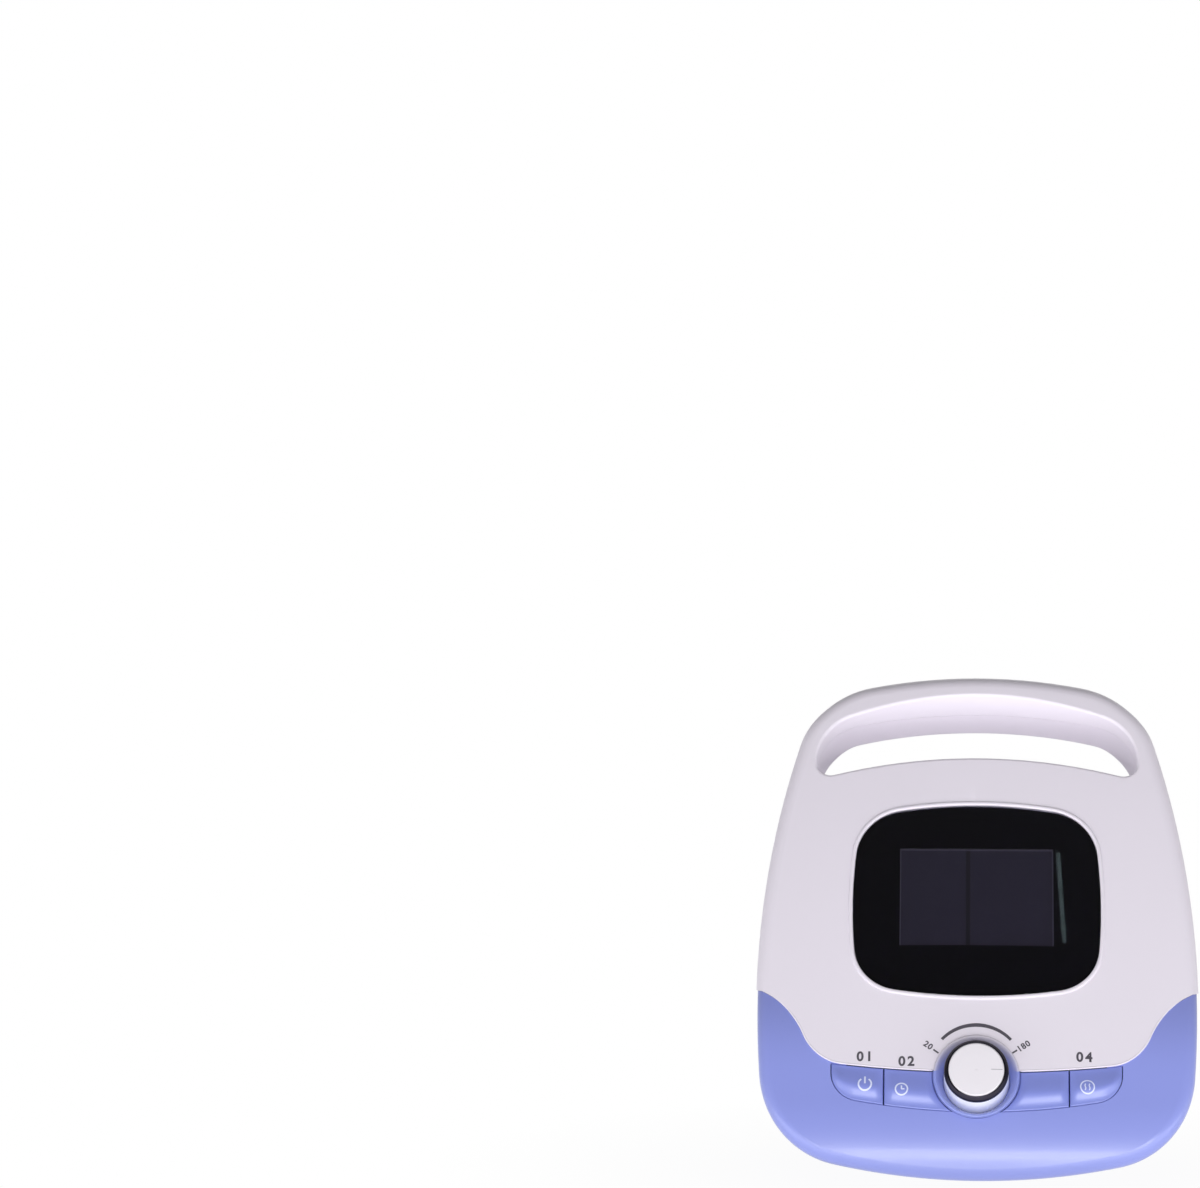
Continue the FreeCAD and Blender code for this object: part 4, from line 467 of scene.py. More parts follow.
def mixed(tree, share, first, second, kind="RGBA"):
    """Colour or number between two, by a share from 0 to 1."""
    return add(tree, "Mix", {"Factor": share, "A": first, "B": second}, data_type=kind).outputs["Result"]


def axes(tree, coordinates="Object"):
    """Coordinates and their three parts."""
    place = add(tree, "TexCoord", {}).outputs[coordinates]
    return place, add(tree, "SeparateXYZ", {0: place}).outputs


def norm(tree, vector):
    """Length of a vector."""
    return add(tree, "VectorMath", {0: vector}, operation="LENGTH").outputs["Value"]


def relief(tree, height, distance):
    """Normals bumped by a height that stands for a distance in metres."""
    return add(tree, "Bump", {"Height": height, "Distance": distance}).outputs["Normal"]


def grain_group():
    """Moulded plastic: fine bumps, soft roughness changes and a faint cloudiness of the colour."""
    found = bpy.data.node_groups.get("moulded_grain")
    if found:
        return found
    group = bpy.data.node_groups.new("moulded_grain", "ShaderNodeTree")
    kinds = {"Colour": "NodeSocketColor"}
    inputs = {"Colour": (0.8, 0.8, 0.8, 1), "Roughness": 0.35, "Fineness": 900.0, "Cloud": 0.03}
    for name, value in inputs.items():
        kind = kinds.get(name, "NodeSocketFloat")
        group.interface.new_socket(name, in_out="INPUT", socket_type=kind).default_value = value
    for name in ("Colour", "Roughness", "Height"):
        group.interface.new_socket(name, in_out="OUTPUT", socket_type=kinds.get(name, "NodeSocketFloat"))
    entry = group.nodes.new("NodeGroupInput").outputs
    place = add(group, "TexCoord", {}).outputs["Object"]
    fine = add(group, "TexNoise", {"Vector": place, "Scale": entry["Fineness"], "Detail": 2.0}).outputs["Fac"]
    broad = add(group, "TexNoise", {"Vector": place, "Scale": 14.0, "Detail": 3.0}).outputs["Fac"]
    cloud = maths(group, "MULTIPLY_ADD", maths(group, "SUBTRACT", broad, 0.5), entry["Cloud"], 1.0)
    tint = add(group, "VectorMath", {0: entry["Colour"], "Scale": cloud}, operation="SCALE")
    rough = maths(group, "MULTIPLY_ADD", fine, 0.10, entry["Roughness"])
    feed(group.nodes.new("NodeGroupOutput"), {"Colour": tint.outputs[0], "Roughness": rough, "Height": fine})
    return group


def bare(name):
    """New material with its Principled shader."""
    made = bpy.data.materials.new(name)
    made.use_nodes = True
    return made, made.node_tree.nodes["Principled BSDF"]


def moulded(name, base, roughness=0.34, bump=0.00002, fineness=900.0, cloud=0.03, coat=0.0):
    """Moulded plastic or rubber with grain; base is a colour, or a function of the tree that gives one."""
    made, shader = bare(name)
    tree = made.node_tree
    grain = add(tree, "Group", {
        "Colour": base(tree) if callable(base) else base, "Roughness": roughness - 0.05,
        "Fineness": fineness, "Cloud": cloud,
    }, node_tree=grain_group()).outputs
    feed(shader, {
        "Base Color": grain["Colour"], "Roughness": grain["Roughness"],
        "Normal": relief(tree, grain["Height"], bump), "Coat Weight": coat, "Coat Roughness": 0.12,
    })
    return made


def metal(name, base, roughness=0.2, scale=(400.0, 400.0, 400.0), bump=0.00001):
    """Metal with fine marks stretched along one way."""
    made, shader = bare(name)
    tree = made.node_tree
    place = add(tree, "TexCoord", {}).outputs["Object"]
    stretched = add(tree, "Mapping", {"Vector": place, "Scale": scale}).outputs["Vector"]
    marks = add(tree, "TexNoise", {"Vector": stretched, "Scale": 1.0, "Detail": 4.0}).outputs["Fac"]
    feed(shader, {
        "Base Color": base, "Metallic": 1.0, "Normal": relief(tree, marks, bump),
        "Roughness": maths(tree, "MULTIPLY_ADD", marks, 0.12, roughness - 0.06),
    })
    return made


def finish(target, material):
    """Puts one material on an object or on a solid named by its node."""
    piece = frame["nodes"][target] if isinstance(target, str) else target
    piece.data.materials.clear()
    piece.data.materials.append(material)
    return piece


# ---- settings ----

def swatch(name, description, *display):
    """Colour setting, given as a display colour in 0 to 255."""
    return bpy.props.FloatVectorProperty(
        name=name, description=description, default=colour(*display)[:3], min=0.0, max=1.0, subtype="COLOR")


def measure(name, description, default, low, high):
    """Length setting, in metres."""
    return bpy.props.FloatProperty(
        name=name, description=description, default=default, min=low, max=high, unit="LENGTH")


class ConsoleColours(bpy.types.PropertyGroup):
    """Colours of the moulded pieces."""

    case_white: swatch("Case white", "Colour of the two upper housings", 223, 217, 228)
    tub_blue: swatch("Tub blue", "Colour of the lower tub", 142, 152, 224)
    key_blue: swatch("Key blue", "Colour of the four keys", 130, 141, 214)
    print_dark: swatch("Dark print", "Colour of the scale and numbers on the white case", 78, 74, 84)
    print_light: swatch("Light print", "Colour of the symbols on the keys", 214, 220, 248)


class ConsoleSizes(bpy.types.PropertyGroup):
    """Sizes of the pieces that this file makes."""

    rim_width: measure("Window rim width", "Width of the raised rim round the window", 0.0022, 0.001, 0.004)
    rim_height: measure(
        "Window rim height", "Height of the raised rim above the front", 0.00085, 0.0003, 0.002)
    lip_radius: measure(
        "Case lip radius", "Radius of the rounded lip along the two-colour edge", 0.0006, 0.0002, 0.0015)
    key_crown: measure(
        "Key crown", "Rise of the keys' lower third above their upper edge", 0.0021, 0.0, 0.003)
    scale_radius: measure("Scale radius", "Radius of the printed scale over the knob", 0.0246, 0.024, 0.04)
    scale_rise: measure("Scale rise", "Height of the scale's centre above the knob's axis", 0.0040, 0.0, 0.01)


class ConsoleStudio(bpy.types.PropertyGroup):
    """Camera and light."""

    lens: bpy.props.FloatProperty(
        name="Lens", description="Focal length in millimetres", default=135.0, min=35.0, max=300.0)
    elevation: bpy.props.FloatProperty(
        name="Elevation", description="Height of the camera above the object, as an angle",
        default=math.radians(5.0), min=0.0, max=math.radians(60), subtype="ANGLE")
    world_light: bpy.props.FloatProperty(
        name="World light", description="Strength of the light from all around",
        default=0.33, min=0.0, max=3.0)
    front_light: bpy.props.FloatProperty(
        name="Front light", description="Power of the low soft lamp in front", default=4.2,
        min=0.0, max=200.0, subtype="POWER")
    floor_light: bpy.props.FloatProperty(
        name="Floor light", description="Light that the pale floor in front throws back", default=2.0,
        min=0.0, max=5.0)
    floor_pool: bpy.props.FloatProperty(
        name="Floor pool", description="Extra brightness of the floor in front, seen in reflections only",
        default=2.0, min=0.0, max=20.0)


# ---- case ----

def painted_shade_under_lip(tree, base):
    """Painted shade under the white lip: base * (1 - 0.3 * ease(height from 55 to 105 mm)), darker towards
    the tub's upper edge.
    """
    _, parts = axes(tree)
    level = span(tree, parts["Z"], 0.055, 0.105, 1.0, 0.7, interpolation_type="SMOOTHSTEP")
    return add(tree, "VectorMath", {0: tuple(base), "Scale": level}, operation="SCALE").outputs[0]


def make_lip(sizes, white):
    """Round lip along the two-colour edge on each side of the knob, thinning out at its outer end."""
    line = edge_line()
    for name, side in (("case_lip_left", -1), ("case_lip_right", 1)):
        half = line[line[:, 0] * side > COLLAR_CLEAR_R - 0.0003]
        x, z = half[:, 0], half[:, 1]
        path = np.stack([x, front_y(x, z, LIP_SINK), z], -1)
        fade = np.clip((EDGE_END_X - np.abs(x)) / LIP_FADE, 0.05, 1.0)
        profile = rounded(sizes.lip_radius, sizes.lip_radius, 2.0, 12)
        lip = bead(name, path, outward(x, z), profile, False, scale=fade)
        finish(lip, white)


def make_rim(sizes, white):
    """Raised rim round the window: a flattened round profile along the window's outline."""
    line = window_outline(sizes.rim_width / 2 - RIM_OVERLAP)
    path = on_front(line[:, 0], line[:, 1], WINDOW_Z)
    profile = rounded(sizes.rim_width / 2, sizes.rim_height)
    rim = bead("window_rim", path, outward(path[:, 0], path[:, 2]), profile, True)
    finish(rim, white)


class CONSOLE_OT_dress_case(bpy.types.Operator):
    """Finishes the housings and the tub and adds the rounded lip and the window rim."""

    bl_idname = "console.dress_case"
    bl_label = "Dress the case"

    def execute(self, context):
        colours, sizes = context.scene.console_colours, context.scene.console_sizes
        white = moulded("case_white", (*colours.case_white, 1), roughness=0.5)
        # Painted shade: the tub's blue darkens towards its upper edge, under the white lip
        blue_with_painted_shade = partial(painted_shade_under_lip, base=colours.tub_blue)
        blue = moulded("tub_blue", blue_with_painted_shade, roughness=0.3, coat=0.2)
        finish("front_housing", white)
        finish("rear_housing", white)
        finish("base_tub", blue)
        make_lip(sizes, white)
        make_rim(sizes, white)
        return {"FINISHED"}


# ---- keys ----

def clustered(count, pull=0.35):
    """Places from 0 to 1 that crowd towards both ends: t - pull * sin(2 pi t) / pi."""
    t = np.linspace(0, 1, count)
    return t - pull * np.sin(2 * np.pi * t) / np.pi


def row_low(x):
    """Lower edge of the key row: a wide arc with a rounded outer corner."""
    wide = ROW_BOTTOM + ROW_BOTTOM_R - np.sqrt(ROW_BOTTOM_R**2 - x**2)
    corner_x = ROW_HALF - ROW_CORNER_R
    reach = ROW_BOTTOM_R - ROW_CORNER_R
    corner_s = ROW_BOTTOM + ROW_BOTTOM_R - math.sqrt(reach**2 - corner_x**2)
    touch = corner_x * ROW_BOTTOM_R / reach
    round_part = corner_s - np.sqrt(np.maximum(ROW_CORNER_R**2 - (np.abs(x) - corner_x) ** 2, 0.0))
    return np.where(np.abs(x) > touch, round_part, wide)


def row_high(x):
    """Upper edge of the key row, a clearance under the two-colour edge."""
    z = EDGE_LOW_Z + EDGE_SAG_R - np.sqrt(EDGE_SAG_R**2 - x**2)
    lean = lean_at(KNOB_Z)
    y = front_y(x, z)
    return (z - KNOB_Z) * math.cos(lean) + (y - profile_y(KNOB_Z)) * math.sin(lean) - KEY_CLEARANCE


def collar_side(s, side):
    """Where the collar's clearance circle cuts the row at height s."""
    return side * np.sqrt(np.maximum(COLLAR_CLEAR_R**2 - s**2, 0.0))


def eased(t):
    """Smooth step t^2 (3 - 2t) of a value held between 0 and 1."""
    t = np.clip(t, 0.0, 1.0)
    return t * t * (3 - 2 * t)


def key_depth(v, beside, above, crown):
    """How far a key's top lies under the front: sunk at its upper edge and proud over its lower third.

    Rise = crown * ease((v - 0.03) / 0.41) * (1 - ease((v - 0.40) / 0.60)), with v from the lower edge to
    the upper, eased in over KEY_EASE from each side. The edge itself drops by r - sqrt(r^2 - (r - e)^2).
    """
    r = KEY_EDGE_R
    e = np.clip(np.minimum(beside, above), 0, r)
    drop = r - np.sqrt(np.maximum(r**2 - (r - e) ** 2, 0.0))
    rise = crown * eased((v - 0.03) / 0.41) * (1 - eased((v - 0.40) / 0.60)) * eased(beside / KEY_EASE + 0.2)
    return KEY_SINK + drop - rise


def key_places(x0, x1, u, v):
    """Places (x, s) of a key: across between its sides, then up between the row's two edges.

    The sides may be the collar's circle, so the place is found by repeating both steps.
    """
    middle = 0.035 * (1 if x0 is None else -1) if None in (x0, x1) else (x0 + x1) / 2
    x = np.full(np.broadcast(u, v).shape, middle)
    for _ in range(12):
        low, high = row_low(x), row_high(x)
        s = low + v * (high - low)
        left = collar_side(s, 1) if x0 is None else x0
        right = collar_side(s, -1) if x1 is None else x1
        x = left + u * (right - left)
    return x, s, right - left, high - low


def make_key(name, x0, x1, crown):
    """Key top on a grid between its sides, over walls and a floor at KEY_DEPTH."""
    u, v = np.meshgrid(clustered(49), clustered(49), indexing="xy")
    x, s, width, height = key_places(x0, x1, u, v)
    depth = key_depth(v, np.minimum(u, 1 - u) * width, np.minimum(v, 1 - v) * height, crown)
    top = on_front(x, s, KNOB_Z, depth)
    rows, columns = top.shape[:2]
    faces = grid_faces(rows, columns)
    ring = np.concatenate([
        np.arange(columns - 1), np.arange(rows - 1) * columns + columns - 1,
        (rows - 1) * columns + np.arange(columns - 1, 0, -1), np.arange(rows - 1, 0, -1) * columns,
    ])
    base = on_front(x, s, KNOB_Z, KEY_DEPTH).reshape(-1, 3)[ring]
    below = rows * columns + np.arange(len(ring))
    walls = np.stack([ring, np.roll(ring, -1), np.roll(below, -1), below], -1).tolist()
    points = np.concatenate([top.reshape(-1, 3), base])
    key = link(name + "_key", points, faces + walls + [below[::-1].tolist()], name + "_button")
    return crisp(turn_outwards(key), 60)


class CONSOLE_OT_make_keys(bpy.types.Operator):
    """Makes the four keys with their pillowed tops."""

    bl_idname = "console.make_keys"
    bl_label = "Make the keys"

    def execute(self, context):
        colours, sizes = context.scene.console_colours, context.scene.console_sizes
        blue = moulded("key_blue", (*colours.key_blue, 1), roughness=0.3, coat=0.12)
        split = ROW_SPLIT_X
        half_gap = ROW_GAP / 2
        spans = (
            ("power", -ROW_HALF, -split - half_gap),
            ("timer", -split + half_gap, None),
            ("mode", None, split - half_gap),
            ("heat", split + half_gap, ROW_HALF),
        )
        for name, x0, x1 in spans:
            key = make_key(name, x0, x1, sizes.key_crown)
            finish(key, blue)
            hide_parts(name + "_button")
            finish(name + "_plunger", blue)
        return {"FINISHED"}


# ---- knob ----

def two_tones_and_painted_shade(tree, case_white):
    """Blue and white that meet at the height of the case's two-colour edge.

    Inwards from the collar's rim the white is painted greyer, a painted shade of the knob's shadow in the
    dish, and the meeting softens, by the distance from the knob's axis.
    """
    place, parts = axes(tree)
    edge = EDGE_LOW_Z + float(SHIFT[2])
    turned = add(tree, "Mapping", {
        "Vector": place, "Location": in_plane(0.0, 0.0, KNOB_Z, 0.0) + SHIFT,
        "Rotation": (-lean_at(KNOB_Z), 0.0, 0.0),
    }, vector_type="TEXTURE")
    flat = add(tree, "VectorMath", {0: turned.outputs[0], 1: (1.0, 0.0, 1.0)}, operation="MULTIPLY")
    inner = span(tree, norm(tree, flat.outputs[0]), COLLAR_DISH_R - 0.0018, COLLAR_CLEAR_R + 0.0001)
    share = mixed(tree, inner, span(tree, parts["Z"], edge - 0.001, edge + 0.015),
                  maths(tree, "GREATER_THAN", parts["Z"], edge + 0.0002), "FLOAT")
    # Painted shade: grey standing for the knob's shadow in the collar's dish, fading to white at the rim
    white = mixed(tree, inner, colour(158, 153, 168), (*case_white, 1))
    return mixed(tree, share, colour(134, 145, 214), white)


def make_seam(collar):
    """Thin rounded bead round the collar, over the gap to the case: a circle of profiles."""
    a = np.arange(160) / 160 * 2 * np.pi
    radius = COLLAR_CLEAR_R - 0.0002
    path = on_front(radius * np.sin(a), radius * np.cos(a), KNOB_Z, SEAM_SINK)
    profile = rounded(SEAM_HALF_WIDTH, SEAM_HALF_HEIGHT, 2.0, 8)
    seam = bead("collar_seam", path, outward(path[:, 0], path[:, 2]), profile, True)
    finish(seam, collar)


def make_pointer():
    """Thin line on the cap's right: a strip that follows the cap's shallow dome."""
    u, v = np.meshgrid(np.linspace(POINTER_START, POINTER_END, 14),
                       np.linspace(POINTER_HALF_WIDTH, -POINTER_HALF_WIDTH, 3), indexing="ij")
    points = in_plane(u, v, KNOB_Z, -(KNOB_HEIGHT + np.interp(u, *CAP_DOME) + PRINT_RISE))
    line = link("knob_pointer", points, grid_faces(*u.shape), "knob")
    finish(line, moulded("pointer_print", colour(176, 172, 182), roughness=0.4, bump=0.0))


class CONSOLE_OT_dress_knob(bpy.types.Operator):
    """Finishes the knob, its collar and its pointer line."""

    bl_idname = "console.dress_knob"
    bl_label = "Dress the knob"

    def execute(self, context):
        colours = context.scene.console_colours
        collar = moulded("collar_two_tone_painted_shade", partial(two_tones_and_painted_shade, case_white=colours.case_white),
                         roughness=0.24, coat=0.4, cloud=0.02)
        finish("knob_collar", collar)
        make_seam(collar)
        skirt = moulded("skirt_white_painted_glow", colour(253, 253, 255), roughness=0.3, coat=0.6)
        # Painted light: the skirt glows faintly, standing for light from below on its shaded crescent
        feed(skirt.node_tree.nodes["Principled BSDF"],
             {"Emission Color": colour(235, 240, 255), "Emission Strength": 0.13})
        finish("knob_body", skirt)
        finish("knob_ring", metal("dark_plating", colour(42, 40, 49), roughness=0.34))
        finish("knob_cap", moulded("cap_white", colour(230, 226, 233), roughness=0.3, coat=0.1))
        finish("knob_shaft", metal("turned_shaft", colour(200, 200, 205), roughness=0.25))
        finish("shaft_nut", metal("nut_steel", colour(170, 170, 175), roughness=0.3))
        finish("potentiometer", metal("pot_can", colour(175, 175, 178), roughness=0.3))
        make_pointer()
        return {"FINISHED"}


# ---- window ----

def make_pane():
    """Pane of rings drawn in from the outline to its centre: a front with a rounded edge and a back."""
    line = window_outline(-PANE_GAP, 20)
    shares = np.concatenate([[1.0, 0.9985, 0.995, 0.99], np.linspace(0.97, 0.0, 26)])
    edge = np.interp(shares, [0.99, 0.995, 0.9985, 1.0], [0.0, 0.06, 0.35, 1.0]) * PANE_EDGE_R
    x = shares[:, None] * line[None, :, 0]
    s = shares[:, None] * line[None, :, 1]
    front = on_front(x[:-1], s[:-1], WINDOW_Z, PANE_SINK + edge[:-1, None])
    back = on_front(x[:-1], s[:-1], WINDOW_Z, PANE_SINK + PANE_THICK)[::-1]
    rings = np.concatenate([front[::-1], back[::-1]])
    rows, columns = rings.shape[:2]
    centres = on_front([0.0, 0.0], [0.0, 0.0], WINDOW_Z, np.array([PANE_SINK, PANE_SINK + PANE_THICK]))
    first = np.arange(columns)
    after, middle, end = np.roll(first, -1), np.full(columns, rows * columns), (rows - 1) * columns
    faces = grid_faces(rows, columns, wrap_columns=True)
    faces += np.stack([middle, after, first], -1).tolist()
    faces += np.stack([middle + 1, end + first, end + after], -1).tolist()
    points = np.concatenate([rings.reshape(-1, 3), centres])
    return crisp(turn_outwards(link("window_pane", points, faces)), 50)


def smoked_glass():
    """Clear pane with a faint grey tint, as smooth as polished plastic."""
    made, shader = bare("smoked_glass")
    feed(shader, {"Base Color": (0.55, 0.55, 0.6, 1), "Roughness": 0.02, "IOR": 1.32,
                  "Transmission Weight": 1.0})
    return made


def dark_display_painted_glow():
    """Switched-off display with a painted glow: charcoal, a darker upright band of painted reflection and a
    paler line round its visible part.

    The line is where |x| or |s| passes its half size less the line's width.
    """
    made, shader = bare("dark_display_painted_glow")
    tree = made.node_tree
    step = partial(maths, tree)
    _, parts = axes(tree)
    lean = lean_at(WINDOW_Z)
    centre = in_plane(0.0, SCREEN_RISE, WINDOW_Z, 0.0) + SHIFT
    along = step("MULTIPLY_ADD", parts["Z"], math.cos(lean), float(-centre[2] * math.cos(lean)))
    height = step("MULTIPLY_ADD", parts["Y"], math.sin(lean), along)
    height = step("SUBTRACT", height, float(centre[1] * math.sin(lean)))
    beside = step("SUBTRACT", step("ABSOLUTE", parts["X"]), SCREEN_WIDTH / 2 - SCREEN_LINE)
    above = step("SUBTRACT", step("ABSOLUTE", height), SCREEN_HEIGHT / 2 - SCREEN_LINE)
    line = step("GREATER_THAN", step("MAXIMUM", beside, above), 0.0)
    # Painted reflection: a darker upright band across the display
    reflection_band = step("COMPARE", parts["X"], REFLECTION_BAND_X, REFLECTION_BAND_HALF_WIDTH)
    panel = mixed(tree, reflection_band, colour(48, 45, 58), colour(36, 34, 42))
    shown = mixed(tree, line, panel, colour(72, 69, 82))
    # Painted light: the switched-off display glows with its own colour
    feed(shader, {"Base Color": shown, "Emission Color": shown, "Emission Strength": 0.6,
                  "Roughness": 0.25, "Specular IOR Level": 0.2})
    return made


class CONSOLE_OT_make_window(bpy.types.Operator):
    """Makes the window's glass pane and finishes the mask and the display behind it."""

    bl_idname = "console.make_window"
    bl_label = "Make the window"

    def execute(self, context):
        pane = make_pane()
        finish(pane, smoked_glass())
        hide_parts("window_lens")
        mask = moulded("mask_black", colour(8, 3, 20), roughness=0.5, bump=0.0)
        feed(mask.node_tree.nodes["Principled BSDF"], {"Specular IOR Level": 0.1})
        finish("lens_mask", mask)
        finish("display_panel", dark_display_painted_glow())
        finish("display_frame", moulded("frame_black", colour(20, 20, 22), roughness=0.5))
        return {"FINISHED"}


# ---- print ----

def printed(x, s, crown):
    """Places of print: just over the front where crown is None, otherwise just over a key's top."""
    if crown is None:
        return on_front(x, s, KNOB_Z, -PRINT_RISE)
    low, high = row_low(x), row_high(x)
    far = np.full(np.shape(x), 0.01)
    return on_front(x, s, KNOB_Z, key_depth((s - low) / (high - low), far, far, crown) - KEY_PRINT_RISE)


def ring_strip(cx, cs, radius, width, start, end, steps=48, crown=None):
    """Flat strip along an arc: radius from r - w/2 to r + w/2, angle from start to end in degrees."""
    a, r = np.meshgrid(np.radians(np.linspace(start, end, steps)), np.linspace(0.5, -0.5, 3), indexing="ij")
    reach = radius + r * np.reshape(width, (-1, 1))
    return printed(cx + reach * np.sin(a), cs + reach * np.cos(a), crown), a.shape


def bar_strip(x0, s0, x1, s1, width, crown=None):
    """Flat strip of one width from one place to another."""
    t, w = np.meshgrid(np.linspace(0, 1, 8), np.linspace(0.5, -0.5, 3), indexing="ij")
    length = math.hypot(x1 - x0, s1 - s0)
    nx, ns = -(s1 - s0) / length * width, (x1 - x0) / length * width
    return printed(x0 + (x1 - x0) * t + nx * w, s0 + (s1 - s0) * t + ns * w, crown), t.shape


def joined(name, strips, body, wrapped=False):
    """One object from several strips or, where wrapped, from several rings of closed profiles."""
    verts, faces, first = [], [], 0
    for points, shape in strips:
        verts.append(points.reshape(-1, 3))
        faces += (np.array(grid_faces(*shape, wrapped, wrapped)) + first).tolist()
        first += shape[0] * shape[1]
    return link(name, np.concatenate(verts), faces, body)


def numeral(name, text, x, s, degrees, height, spacing):
    """A number printed on the front: flat letters turned about their middle and bent onto the surface."""
    curve = bpy.data.curves.new(name + "_curve", "FONT")
    curve.body = text
    curve.size = height / 0.7
    curve.align_x = "CENTER"
    curve.align_y = "CENTER"
    curve.space_character = spacing
    curve.offset = height * 0.045
    curve.resolution_u = 4
    holder = bpy.data.objects.new(name + "_text", curve)
    bpy.context.scene.collection.objects.link(holder)
    bpy.context.view_layer.update()
    flat = bpy.data.meshes.new_from_object(holder.evaluated_get(bpy.context.evaluated_depsgraph_get()))
    co = np.zeros(len(flat.vertices) * 3)
    flat.vertices.foreach_get("co", co)
    co = co.reshape(-1, 3)
    c, k = math.cos(math.radians(degrees)), math.sin(math.radians(degrees))
    px, ps = x + co[:, 0] * c - co[:, 1] * k, s + co[:, 0] * k + co[:, 1] * c
    faces = [list(p.vertices) for p in flat.polygons]
    bpy.data.objects.remove(holder)
    bpy.data.meshes.remove(flat)
    return link(name, printed(px, ps, None), faces)


def symbols(crown):
    """Power: broken ring and stroke. Timer: ring and hands. Heat: ring and two warm waves."""
    ring, bar = partial(ring_strip, crown=crown), partial(bar_strip, crown=crown)
    x, s = POWER_PLACE
    power = [ring(x, s, 0.0034, 0.0009, 35, 325, 40), bar(x, s + 0.0003, x, s + 0.0044, 0.0009)]
    x, s = TIMER_PLACE
    timer = [
        ring(x, s, 0.0032, 0.0008, 0, 360),
        bar(x, s - 0.0001, x, s + 0.0020, 0.0008),
        bar(x - 0.0002, s, x + 0.0016, s, 0.0008),
    ]
    x, s = HEAT_PLACE
    heat = [ring(x, s, 0.0036, 0.0007, 0, 360)]
    for dx in (-0.0011, 0.0011):
        heat.append(ring(x + dx + 0.0010, s + 0.0008, 0.0012, 0.0006, -140, -40, 12))
        heat.append(ring(x + dx - 0.0010, s - 0.0008, 0.0012, 0.0006, 40, 140, 12))
    return {"power": power, "timer": timer, "heat": heat}


class CONSOLE_OT_print_front(bpy.types.Operator):
    """Prints the scale and numbers on the case and the symbols on the keys."""

    bl_idname = "console.print_front"
    bl_label = "Print the front"

    def execute(self, context):
        colours, sizes = context.scene.console_colours, context.scene.console_sizes
        dark = moulded("dark_print", (*colours.print_dark, 1), roughness=0.45, bump=0.0)
        light = moulded("light_print", (*colours.print_light, 1), roughness=0.4, bump=0.0)
        swell = np.interp(np.linspace(-1, 1, 48), [-1, 0, 1], [0.0016, 0.0021, 0.0016])
        strips = [ring_strip(0, sizes.scale_rise, sizes.scale_radius, swell, -48, 48)]
        for side, far, turn in TICKS:
            along, up = side * math.cos(math.radians(turn)), math.sin(math.radians(turn))
            x, s = side * far - TICK_REACH * along, TICK_S - TICK_REACH * up
            dx, ds = TICK_HALF * along, TICK_HALF * up
            strips.append(bar_strip(x - dx, s - ds, x + dx, s + ds, TICK_WIDTH))
        pieces = [joined("knob_scale", strips, "console")]
        pieces += [numeral(*place, SCALE_NUMBER_HEIGHT, 1.15) for place in SCALE_NUMBERS]
        pieces += [numeral(*place, KEY_NUMBER_HEIGHT, 1.3) for place in KEY_NUMBERS]
        for piece in pieces:
            finish(piece, dark)
        for name, strips in symbols(sizes.key_crown).items():
            piece = joined(name + "_symbol", strips, name + "_button")
            finish(piece, light)
        return {"FINISHED"}


# ---- rear and underside ----

def make_barbs(blue):
    """Barbed sleeves round the eight nozzles: one closed profile turned about each axis."""
    profile = np.array(NOZZLE_PROFILE) * MM
    a = np.arange(36)[:, None] / 36 * 2 * np.pi
    across, up = profile[:, 0] * np.sin(a), OUTLET_Z + profile[:, 0] * np.cos(a)
    sleeves = [np.stack(np.broadcast_arrays(x + across, OUTLET_Y + profile[:, 1], up), -1) for x in OUTLET_X]
    sleeves = [(sleeve, sleeve.shape[:2]) for sleeve in sleeves]
    barbs = crisp(turn_outwards(joined("nozzle_barbs", sleeves, "console", True)), 40)
    finish(barbs, blue)


class CONSOLE_OT_dress_rear(bpy.types.Operator):
    """Finishes the outlets, the mains inlet, the intake cover, the screws and the feet."""

    bl_idname = "console.dress_rear"
    bl_label = "Dress the rear"

    def execute(self, context):
        colours = context.scene.console_colours
        blue = moulded("fitting_blue", (*colours.tub_blue, 1), roughness=0.36, fineness=1100.0)
        black = moulded("inlet_black", colour(28, 28, 30), roughness=0.42)
        finish(softened("outlet_sockets", spared=NOZZLE_CLEARANCE), blue)
        make_barbs(blue)
        finish(softened("filter_cover"), blue)
        finish(softened("mains_inlet"), black)
        finish("inlet_pins", metal("pin_brass", colour(222, 200, 140), roughness=0.22))
        foam = moulded("filter_foam", colour(46, 46, 50), roughness=0.95, bump=0.0004, fineness=1500.0)
        finish("intake_filter", foam)
        finish("rubber_feet", moulded("foot_rubber", colour(52, 52, 56), roughness=0.8, bump=0.00006))
        finish("case_screws", metal("screw_steel", colour(168, 168, 172), roughness=0.3))
        return {"FINISHED"}


# ---- inside ----

def make_springs(steel):
    """Springs with closed end turns, flattened by their valves: a round wire carried along a helix."""
    low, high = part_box("valve_springs")
    wire = rounded(SPRING_WIRE_R, SPRING_WIRE_R, 2.0, 10)
    height = high.z - low.z - 2 * SPRING_WIRE_R - SPRING_PLAY
    turn = np.linspace(0.0, SPRING_TURNS, 40 * SPRING_TURNS + 1)
    rise = np.interp(turn, [0.0, 1.0, SPRING_TURNS - 1.0, SPRING_TURNS],
                     [0.0, 2 * SPRING_WIRE_R, height - 2 * SPRING_WIRE_R, height])
    z = rise + low.z - SHIFT[2] + SPRING_WIRE_R + SPRING_PLAY
    a = 2 * np.pi * turn
    away = np.stack([np.cos(a), np.sin(a), np.zeros_like(a)], -1)
    for valve, x in VALVES.items():
        path = away * SPRING_R + np.stack([np.full_like(z, x), np.full_like(z, VALVE_Y), z], -1)
        spring = finish(bead(valve + "_spring", path, away, wire, False), steel)
        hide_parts("valve_springs")
        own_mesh(spring)


